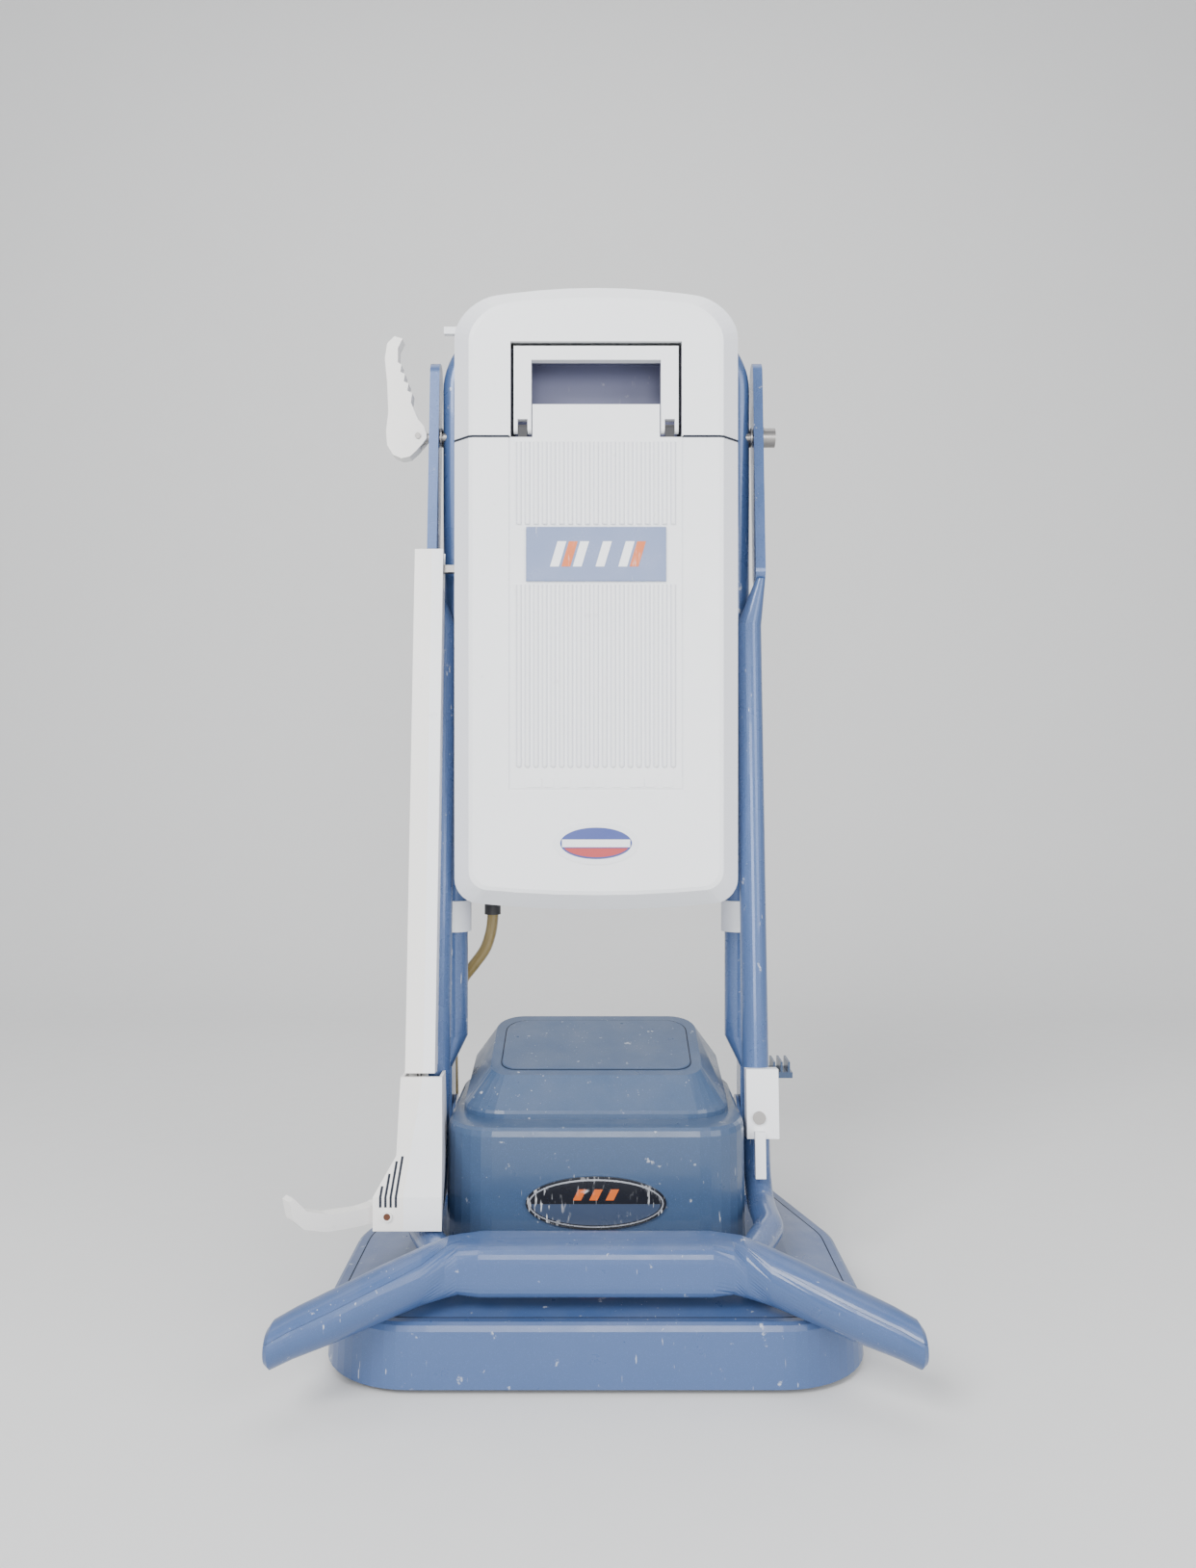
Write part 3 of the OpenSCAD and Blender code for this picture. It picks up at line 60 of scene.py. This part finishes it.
class Shade:
    """A procedural surface: base colour with grain, wear, dust and scratches, in object space."""

    def __init__(self, mat):
        self.mat = mat
        mat.use_nodes = True
        self.tree = mat.node_tree
        self.tree.nodes.clear()
        self.out = self.add("ShaderNodeOutputMaterial")
        self.bsdf = self.add("ShaderNodeBsdfPrincipled")
        self.join(self.bsdf.outputs[0], self.out.inputs["Surface"])
        self.coord = self.add("ShaderNodeTexCoord")
        self.normal = None

    def add(self, kind, **values):
        node = self.tree.nodes.new(kind)
        for key, value in values.items():
            setattr(node, key, value)
        return node

    def join(self, a, b):
        self.tree.links.new(a, b)

    def noise(self, scale, detail=4.0, stretch=(1, 1, 1), rough=0.5):
        place = self.add("ShaderNodeMapping")
        place.inputs["Scale"].default_value = stretch
        self.join(self.coord.outputs["Object"], place.inputs["Vector"])
        tex = self.add("ShaderNodeTexNoise")
        tex.inputs["Scale"].default_value = scale
        tex.inputs["Detail"].default_value = detail
        tex.inputs["Roughness"].default_value = rough
        self.join(place.outputs[0], tex.inputs["Vector"])
        return tex.outputs["Fac"]

    def ramp(self, value, low, high, a=0.0, b=1.0):
        node = self.add("ShaderNodeMapRange")
        node.clamp = True
        for key, number in (("From Min", low), ("From Max", high), ("To Min", a), ("To Max", b)):
            node.inputs[key].default_value = number
        self.join(value, node.inputs["Value"])
        return node.outputs[0]

    def times(self, a, b):
        node = self.add("ShaderNodeMath", operation="MULTIPLY")
        self.join(a, node.inputs[0])
        if isinstance(b, (int, float)):
            node.inputs[1].default_value = b
        else:
            self.join(b, node.inputs[1])
        return node.outputs[0]

    def mix(self, fac, a, b):
        node = self.add("ShaderNodeMix", data_type="RGBA")
        self.join(fac, node.inputs["Factor"])
        for socket, value in ((node.inputs["A"], a), (node.inputs["B"], b)):
            if isinstance(value, tuple):
                socket.default_value = (*value, 1.0)
            else:
                self.join(value, socket)
        return node.outputs["Result"]

    def upward(self):
        geo = self.add("ShaderNodeNewGeometry")
        split = self.add("ShaderNodeSeparateXYZ")
        self.join(geo.outputs["Normal"], split.inputs[0])
        return self.ramp(split.outputs["Z"], 0.25, 0.95)

    def along(self, axis, low, high):
        """0 to 1 as the object coordinate along axis goes from low to high."""
        split = self.add("ShaderNodeSeparateXYZ")
        self.join(self.coord.outputs["Object"], split.inputs[0])
        return self.ramp(split.outputs[axis], low, high)

    def sideways(self, low, high):
        """0 to 1 as the surface turns to face left or right."""
        split = self.add("ShaderNodeSeparateXYZ")
        self.join(self.coord.outputs["Normal"], split.inputs[0])
        node = self.add("ShaderNodeMath", operation="ABSOLUTE")
        self.join(split.outputs["X"], node.inputs[0])
        return self.ramp(node.outputs[0], low, high)

    def bump(self, height, strength, distance):
        node = self.add("ShaderNodeBump")
        node.inputs["Strength"].default_value = strength
        node.inputs["Distance"].default_value = distance
        self.join(height, node.inputs["Height"])
        if self.normal is not None:
            self.join(self.normal, node.inputs["Normal"])
        self.normal = node.outputs[0]
        self.join(self.normal, self.bsdf.inputs["Normal"])


def paint(name, color, rough, metallic=0.0, grain=0.1, scuff=0.0, dust=0.0, flake=0.0, coat=0.0, pores=0.15,
          scuff_color=(0.75, 0.76, 0.78), dust_color=(0.45, 0.43, 0.40), streaks=0.0, tint=None):
    """Material called name. scuff, dust, flake and streaks are how strong each kind of wear is, 0 for none;
    tint takes the shade and its colour so far, and returns another."""
    mat = bpy.data.materials.get(name) or bpy.data.materials.new(name)
    s = Shade(mat)
    dark = tuple(c * (1 - grain) for c in color)
    light = tuple(min(1.0, c * (1 + grain)) for c in color)
    col = s.mix(s.noise(14.0, 5.0), dark, light)
    if tint:
        col = tint(s, col)
    if flake:
        flakes = s.times(s.ramp(s.noise(2200.0, 1.0), 0.62, 0.72), flake)
        col = s.mix(flakes, col, tuple(min(1, c * 2.4) for c in color))
    if dust:
        settled = s.times(s.times(s.upward(), s.ramp(s.noise(38.0, 6.0), 0.35, 0.72)), dust)
        col = s.mix(settled, col, dust_color)
    if scuff:
        marks = s.ramp(s.noise(95.0, 7.0, (1, 1, 1), 0.62), 0.66, 0.72)
        lines = s.times(s.ramp(s.noise(60.0, 2.0, (9, 9, 1)), 0.70, 0.74), s.ramp(s.noise(18.0), 0.5, 0.6))
        both = s.add("ShaderNodeMath", operation="MAXIMUM")
        s.join(marks, both.inputs[0])
        s.join(lines, both.inputs[1])
        col = s.mix(s.times(both.outputs[0], scuff), col, scuff_color)
    if streaks:
        rubbed = s.times(s.ramp(s.noise(75.0, 3.0, (5, 5, 1)), 0.56, 0.62),
                         s.ramp(s.noise(30.0, 4.0), 0.46, 0.60))
        col = s.mix(s.times(rubbed, streaks), col, scuff_color)
    s.join(col, s.bsdf.inputs["Base Color"])
    s.join(s.ramp(s.noise(55.0, 4.0), 0.3, 0.7, rough * 0.85, min(1.0, rough * 1.2)),
           s.bsdf.inputs["Roughness"])
    s.bsdf.inputs["Metallic"].default_value = metallic
    s.bsdf.inputs["Coat Weight"].default_value = coat
    if pores:
        s.bump(s.noise(900.0, 3.0), pores, 0.0003)
    return s


def greyer_hood(s, col):
    """Greyer paint above the deck, but not on what stands forward of the hood."""
    hood = s.times(s.along("Z", 0.050, 0.054), s.along("Y", -0.062, -0.058))
    return s.mix(s.times(hood, 0.75), col, (0.040, 0.073, 0.130))


def shaded_sides_and_yellowed_white(s, col):
    """Painted shade on the side faces, darkened toward a cool grey; and yellowed plastic left of the frame."""
    # painted shade: faces turned left or right are darkened toward a cool grey
    sides = s.times(s.sideways(0.25, 0.85), 0.45)
    col = s.mix(sides, col, (0.52, 0.53, 0.63))
    warm = s.along("X", -0.1335, -0.1345)
    return s.mix(s.times(warm, 0.5), col, (0.84, 0.80, 0.72))


paint("blue_moulding", (0.050, 0.095, 0.222), 0.32, grain=0.05, scuff=0.5, dust=0.06, flake=0.30, coat=0.2,
      tint=greyer_hood)
paint("blue_enamel", (0.066, 0.118, 0.262), 0.28, metallic=0.2, grain=0.05, scuff=0.55, dust=0.06, flake=0.45,
      coat=0.3, pores=0.05)
# its tint paints shade on the side faces and yellows the plastic left of the frame
paint("white_moulding", (0.86, 0.875, 0.89), 0.40, grain=0.02, scuff=0.18, dust=0.08,
      scuff_color=(0.42, 0.42, 0.45), tint=shaded_sides_and_yellowed_white)
paint("lilac_moulding", (0.180, 0.190, 0.300), 0.45, grain=0.06, scuff=0.25, dust=0.15)
paint("label_blue", (0.115, 0.172, 0.335), 0.30, grain=0.04, scuff=0.4, coat=0.3, pores=0.0)
paint("label_white", (0.82, 0.84, 0.86), 0.30, grain=0.03, scuff=0.25, coat=0.3, pores=0.0,
      scuff_color=(0.5, 0.5, 0.55))
paint("label_dark", (0.012, 0.013, 0.018), 0.28, grain=0.2, scuff=0.6, coat=0.4, pores=0.0,
      streaks=0.75)
paint("black_moulding", (0.022, 0.022, 0.025), 0.45, grain=0.2, scuff=0.3, dust=0.3)
paint("black_rubber", (0.020, 0.020, 0.021), 0.75, grain=0.25, dust=0.5, pores=0.4)
paint("bristle", (0.055, 0.055, 0.06), 0.7, grain=0.3, dust=0.3, pores=0.8)
paint("grey_moulding", (0.20, 0.21, 0.225), 0.5, grain=0.08, scuff=0.3, dust=0.3)
paint("gear_nylon", (0.68, 0.65, 0.56), 0.45, grain=0.05, scuff=0.15)
paint("steel", (0.30, 0.29, 0.28), 0.34, metallic=1.0, grain=0.12, scuff=0.3, pores=0.05,
      scuff_color=(0.25, 0.2, 0.17))
paint("motor_metal", (0.42, 0.43, 0.44), 0.45, metallic=0.9, grain=0.1, scuff=0.3)
hose = paint("amber_hose", (0.33, 0.25, 0.10), 0.22, grain=0.12, coat=0.4, pores=0.05)
hose.bsdf.inputs["Transmission Weight"].default_value = 0.45
hose.bsdf.inputs["IOR"].default_value = 1.42
paint("print_orange", (0.62, 0.13, 0.02), 0.35, scuff=0.3, pores=0.0, streaks=0.35)
paint("print_slate", (0.045, 0.065, 0.115), 0.30, scuff=0.5, coat=0.3, pores=0.0, streaks=0.8)
paint("print_silver", (0.62, 0.64, 0.68), 0.30, metallic=0.7, scuff=0.5, pores=0.0,
      scuff_color=(0.1, 0.1, 0.12))
paint("print_red", (0.42, 0.035, 0.04), 0.35, scuff=0.4, pores=0.0)
paint("print_blue", (0.035, 0.06, 0.26), 0.35, scuff=0.4, pores=0.0)
# dark for seam lines, and for painted shade in the lid gap, the bail's gap and the housing's slots
paint("groove_dark", (0.012, 0.016, 0.028), 0.8, pores=0.0)
paint("rust", (0.10, 0.035, 0.015), 0.7, grain=0.3, pores=0.2)


# ------------------------------------------------------------ mesh helpers

def mesh(name, verts, faces, mat, body, slot):
    """New piece from vertices and faces, with its material and on its body; slot is not used."""
    data = bpy.data.meshes.new(name)
    data.from_pydata([tuple(v) for v in verts], [], faces)
    data.validate()
    data.update()
    obj = bpy.data.objects.new(name, data)
    bpy.context.scene.collection.objects.link(obj)
    data.materials.append(bpy.data.materials[mat])
    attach(obj, body)
    return obj


def prism(outline, y0, y1):
    """Closed outline of (x, z) extruded from y0 (front) to y1."""
    n = len(outline)
    verts = [(x, y0, z) for x, z in outline] + [(x, y1, z) for x, z in outline]
    faces = [tuple(range(n)), tuple(range(2 * n - 1, n - 1, -1))]
    faces += [(i, i + n, (i + 1) % n + n, (i + 1) % n) for i in range(n)]
    return verts, faces


def join_shapes(shapes):
    verts, faces = [], []
    for v, f in shapes:
        k = len(verts)
        verts += v
        faces += [tuple(i + k for i in face) for face in f]
    return verts, faces


def round_rect(x0, z0, x1, z1, r, n=6):
    """Outline of a rectangle whose corners are rounded to r."""
    pts = []
    for cx, cz, a in ((x1 - r, z0 + r, -90), (x1 - r, z1 - r, 0), (x0 + r, z1 - r, 90), (x0 + r, z0 + r, 180)):
        for i in range(n + 1):
            turn = math.radians(a + 90 * i / n)
            pts.append((cx + r * math.cos(turn), cz + r * math.sin(turn)))
    return pts


def oval(cx, cz, rx, rz, a0=0, a1=360, n=48):
    """Outline of an oval, or of the part of it from angle a0 to a1."""
    turns = [math.radians(a0 + (a1 - a0) * i / n) for i in range(n + (a1 - a0 < 360))]
    return [(cx + rx * math.cos(turn), cz + rz * math.sin(turn)) for turn in turns]


def slanted(cx, cz, w, h, lean):
    """Outline of a bar that leans right by lean."""
    return [(cx - w / 2 - lean / 2, cz - h / 2), (cx + w / 2 - lean / 2, cz - h / 2),
            (cx + w / 2 + lean / 2, cz + h / 2), (cx - w / 2 + lean / 2, cz + h / 2)]


def cornered(x0, z0, x1, z1):
    """Outline of a rectangle."""
    return [(x0, z0), (x1, z0), (x1, z1), (x0, z1)]


def middle(node):
    """Centre of a node's box."""
    lo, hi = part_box(node)
    return [(a + b) / 2 for a, b in zip(lo, hi)]


FOIL = 0.0002        # thickness of a printed layer
LIFT = 0.00003       # air between layers, so that none share a plane


def foil(name, shapes, front, mat, body, slot, layer=1):
    """Thin printed shapes in front of the plane y = front."""
    y1 = front - LIFT * (layer - 1)
    layers = [prism(s, y1 - LIFT - FOIL, y1 - LIFT * 0.5) for s in shapes]
    return mesh(name, *join_shapes(layers), mat, body, slot)


# ------------------------------------------------------------ printed labels

(px, _, pz), plate_front = middle("name_plate"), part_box("name_plate")[0][1]
half_w, half_h, border = 0.0555, 0.0215, 0.0008
plate_bar = (0.007, 0.020, 0.006)              # width, height and lean
field = round_rect(px - half_w + border, pz - half_h + border,
                   px + half_w - border, pz + half_h - border, 0.002)
foil("plate_field", [field], plate_front, "label_blue", "frame", "label_blue", 1)
foil("plate_bars_white", [slanted(px + dx, pz, *plate_bar) for dx in (-0.030, -0.012, 0.006, 0.024)],
     plate_front - FOIL, "label_white", "frame", "label_white", 2)
foil("plate_bars_orange", [slanted(px + dx, pz, *plate_bar) for dx in (-0.021, 0.033)],
     plate_front - FOIL, "print_orange", "frame", "label_white", 2)

(sx, _, sz), sticker_front = middle("oval_sticker"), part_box("oval_sticker")[0][1]
foil("sticker_field", [oval(sx, sz, 0.0285, 0.0125)], sticker_front, "print_blue", "frame", "label_blue", 1)
foil("sticker_band", [cornered(sx - 0.027, sz - 0.003, sx + 0.027, sz + 0.003)],
     sticker_front - FOIL, "label_white", "frame", "label_white", 2)
foil("sticker_half", [oval(sx, sz, 0.0270, 0.0110, 200, 340, 20)],
     sticker_front - FOIL, "print_red", "frame", "label_white", 2)

(bx, _, bz), badge_front = middle("head_badge"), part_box("head_badge")[0][1]
foil("badge_rim", [oval(bx, bz, 0.0500, 0.0178)], badge_front, "print_silver", "head", "label_dark", 1)
foil("badge_field", [oval(bx, bz, 0.0488, 0.0168)], badge_front - FOIL, "label_dark", "head", "label_dark", 2)
foil("badge_lower", [oval(bx, bz - 0.0004, 0.0475, 0.0155, 180, 360, 32)],
     badge_front - 2 * FOIL, "print_slate", "head", "label_dark", 3)
foil("badge_mark", [slanted(bx + dx, bz + 0.0065, 0.006, 0.008, 0.004) for dx in (-0.012, 0.0, 0.012)],
     badge_front - 2 * FOIL, "print_orange", "head", "label_dark", 3)

# raised bars under the ribs, on the tank's front face
bar_x, bar_pitch, bar_z0, bar_z1 = -0.056, 0.0135, 0.3975, 0.4055
bar_front, bar_back = 0.0074, 0.0081
emboss = []
for k in range(9):
    x = bar_x + k * bar_pitch
    w = 0.009 if k % 3 else 0.013
    emboss.append(prism(round_rect(x, bar_z0, x + w, bar_z1, 0.002, 3), bar_front, bar_back))
mesh("tank_emboss", *join_shapes(emboss), "white_moulding", "frame", "white_moulding")

# ------------------------------------------------------------ seams, slots and pins

def loop_of(node, z_at=None):
    """Outer edge of a convex node seen from above, with the height of its top there."""
    points = [v.co for v in nodes[node].data.vertices if z_at is None or abs(v.co.z - z_at) < 1e-4]
    hull = geometry.convex_hull_2d([(p.x, p.y) for p in points])
    edge = [points[i] for i in hull]
    return [max((p for p in points if (p.xy - q.xy).length < 3e-4), key=lambda p: p.z) for q in edge]


def seam_line(name, loop, inside, outside, mat, body, slot):
    """Flat dark line along a loop, just above the surface."""
    n = len(loop)
    verts = []
    for i, p in enumerate(loop):
        along = (loop[(i + 1) % n].xy - loop[i - 1].xy).normalized()
        out = Vector((along.y, -along.x))
        for d, dz in ((-inside, 0.00012), (outside, 0.00012), (outside, -0.0002), (-inside, -0.0002)):
            verts.append((p.x + out.x * d, p.y + out.y * d, p.z + dz))
    faces = [(4 * i + k, 4 * ((i + 1) % n) + k, 4 * ((i + 1) % n) + (k + 1) % 4, 4 * i + (k + 1) % 4)
             for i in range(n) for k in range(4)]
    return mesh(name, verts, faces, mat, body, slot)


seam_line("deck_seam", loop_of("deck", 0.046), 0.0004, 0.0005, "groove_dark", "head", "blue_moulding")
seam_line("panel_seam", loop_of("cap_panel"), 0.0001, 0.0007, "groove_dark", "head", "blue_moulding")

# painted shade: a dark sheet in the gap round the bail handle, in front of the finger cup
(cup_x0, cup_y0, cup_z0), (cup_x1, _, cup_z1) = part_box("finger_cup")
(bail_x0, _, _), (bail_x1, _, bail_z1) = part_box("bail_handle")
inset, under = 0.0002, 0.0004                  # in from the cup's edge, and behind the bail's
gap = [cornered(cup_x0 + inset, cup_z0 + inset, bail_x0 + under, cup_z1 - inset),
       cornered(bail_x1 - under, cup_z0 + inset, cup_x1 - inset, cup_z1 - inset),
       cornered(bail_x0, bail_z1 - 0.0006, bail_x1, cup_z1 - inset)]
mesh("recess_gasket", *join_shapes([prism(s, cup_y0 - 0.0006, cup_y0 - 0.0001) for s in gap]),
     "groove_dark", "lid", "lilac_moulding")


def strip(path, x0, x1, lift):
    """Thin band over the (y, z) points of path, from x0 to x1."""
    section = ((x0, lift), (x1, lift), (x1, -0.0002), (x0, -0.0002))
    verts = [(x, y, z + dz) for y, z in path for x, dz in section]
    n = len(path)
    faces = [(4 * i + k, 4 * i + 4 + k, 4 * i + 4 + (k + 1) % 4, 4 * i + (k + 1) % 4)
             for i in range(n - 1) for k in range(4)]
    return verts, faces + [(3, 2, 1, 0), tuple(range(4 * n - 4, 4 * n))]


(house_x0, house_y0, house_z0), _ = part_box("trigger_housing")
nose_z = house_z0 + 0.0235                     # where the front wall starts to lean back
slot_z = house_z0 + 0.0165                     # foot of the slots
slot_w, slot_pitch = 0.0017, 0.0036
lean = 1.47                                    # how far the wall runs back for each unit of height
# the slots are dark strips on the housing's face: painted shade where the openings are
slots = []
for k, top in enumerate((0.0286, 0.0345, 0.0405, 0.0430)):
    x = house_x0 + 0.0045 + slot_pitch * k
    slots.append(prism(cornered(x, slot_z, x + slot_w, nose_z), house_y0 - 0.0002, house_y0 + 0.0005))
    slots.append(strip([(house_y0, nose_z), (house_y0 + (house_z0 + top - nose_z) * lean, house_z0 + top)],
                       x, x + slot_w, 0.0003))
mesh("housing_vents", *join_shapes(slots), "groove_dark", "handle", "white_moulding")
pin_x, pin_z = house_x0 + 0.0102, house_z0 + 0.0105
collar_r, pin_r = 0.0036, 0.0024
mesh("pin_collar", *prism(oval(pin_x, pin_z, collar_r, collar_r), house_y0 - 0.0016, house_y0 - 0.00005),
     "white_moulding", "handle", "white_moulding")
mesh("pin_end", *prism(oval(pin_x, pin_z, pin_r, pin_r), house_y0 - 0.00185, house_y0 - 0.0015),
     "rust", "handle", "steel")

# painted shade: a dark strip in the gap over the tank, under the lid; half of it is listed, as x and y of a
# point and the way out there
(_, lid_y0, lid_z0), (_, lid_y1, _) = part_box("tank_lid")
lid_side = 0.1140
path = [(0.0690, 0.0, 0, -1), (0.0980, 0.0, 0.3, -1), (0.1012, 0.0010, 0.6, -0.8), (lid_side, 0.0140, 1, -0.3),
        (lid_side, lid_y1 - lid_y0 - 0.001, 1, 0)]
proud, sunk, above, below = 0.0002, -0.0006, 0.0006, -0.0012
section = ((proud, above), (sunk, above), (sunk, below), (proud, below))
n = len(path)
sides = []
for side in (-1, 1):
    verts = []
    for x, y, out_x, out_y in path:
        for depth_in, z in section:
            verts.append((side * (x + out_x * depth_in), lid_y0 + y + out_y * depth_in, lid_z0 + z))
    faces = [(4 * i + k, 4 * i + (k + 1) % 4, 4 * i + 4 + (k + 1) % 4, 4 * i + 4 + k)
             for i in range(n - 1) for k in range(4)]
    sides.append((verts, faces + [(0, 1, 2, 3), tuple(range(4 * n - 1, 4 * n - 5, -1))]))
mesh("lid_gasket", *join_shapes(sides), "groove_dark", "lid", "lilac_moulding")


def skin(name, node, mat):
    """Smooth copy of a CAD node's mesh."""
    obj = bpy.data.objects.new(name, nodes[node].data.copy())
    bpy.context.scene.collection.objects.link(obj)
    for p in obj.data.polygons:
        p.use_smooth = True
    obj.data.materials.clear()
    obj.data.materials.append(bpy.data.materials[mat])
    return obj


# ------------------------------------------------------------ valve spring

spring = skin("spring_skin", "valve_spring", "steel")
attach(spring, "frame")
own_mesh(spring)
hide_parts("valve_spring")

# ------------------------------------------------------------ hose

hose_obj = skin("hose_skin", "drain_hose", "amber_hose")
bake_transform(hose_obj)
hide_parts("drain_hose")

# ------------------------------------------------------------ CAD materials

for obj in nodes.values():
    for s in obj.material_slots:
        base = s.material.name.split(".")[0]
        if base in bpy.data.materials:
            s.material = bpy.data.materials[base]

# ------------------------------------------------------------ stage, light, camera

paint("stage_pale", (0.72, 0.72, 0.71), 0.6, grain=0.01, pores=0.0)
data = bpy.data.meshes.new("stage")
width, depth, back, height, bend = 9.0, 6.0, 1.9, 4.5, 0.8
bend_turns = [math.radians(a) for a in range(0, 91, 6)]
profile = [(-depth, 0.0)]
profile += [(back - bend + bend * math.sin(t), bend - bend * math.cos(t)) for t in bend_turns]
profile += [(back, height)]
verts = [(s * width, y, z) for y, z in profile for s in (-1, 1)]
data.from_pydata(verts, [], [(2 * i, 2 * i + 1, 2 * i + 3, 2 * i + 2) for i in range(len(profile) - 1)])
for p in data.polygons:
    p.use_smooth = True
stage = bpy.data.objects.new("stage", data)
stage.data.materials.append(bpy.data.materials["stage_pale"])
bpy.context.scene.collection.objects.link(stage)


def lamp(name, at, towards, size, power):
    """White rectangular lamp at a point, aimed at another."""
    light = bpy.data.lights.new(name, "AREA")
    light.shape = "RECTANGLE"
    light.size, light.size_y = size
    light.energy = power
    obj = bpy.data.objects.new(name, light)
    obj.location = at
    obj.rotation_euler = (Vector(towards) - Vector(at)).to_track_quat("-Z", "Y").to_euler()
    bpy.context.scene.collection.objects.link(obj)


lamp("key", (-1.1, -1.9, 2.0), (0, 0, 0.45), (1.2, 1.2), 80)
lamp("fill", (1.7, -1.6, 1.2), (0, 0, 0.4), (1.5, 1.5), 34)
lamp("front", (0.1, -2.2, 0.7), (0, 0, 0.35), (1.0, 0.8), 24)
lamp("top", (0.0, 0.4, 2.6), (0, 0.1, 0.3), (1.6, 1.6), 14)
world = bpy.data.worlds.new("studio")
world.use_nodes = True
world.node_tree.nodes["Background"].inputs[0].default_value = (0.92, 0.94, 1.0, 1.0)
world.node_tree.nodes["Background"].inputs[1].default_value = 0.64
bpy.context.scene.world = world

cam_data = bpy.data.cameras.new("camera")
cam_data.sensor_fit = "VERTICAL"
cam_data.sensor_height = 36.0
cam_data.lens = 27.2
camera = bpy.data.objects.new("camera", cam_data)
camera.location = (0.0015, -0.931, 0.400)      # level, and in front of the machine's middle
camera.rotation_euler = (math.radians(90), 0, 0)
bpy.context.scene.collection.objects.link(camera)
bpy.context.scene.camera = camera
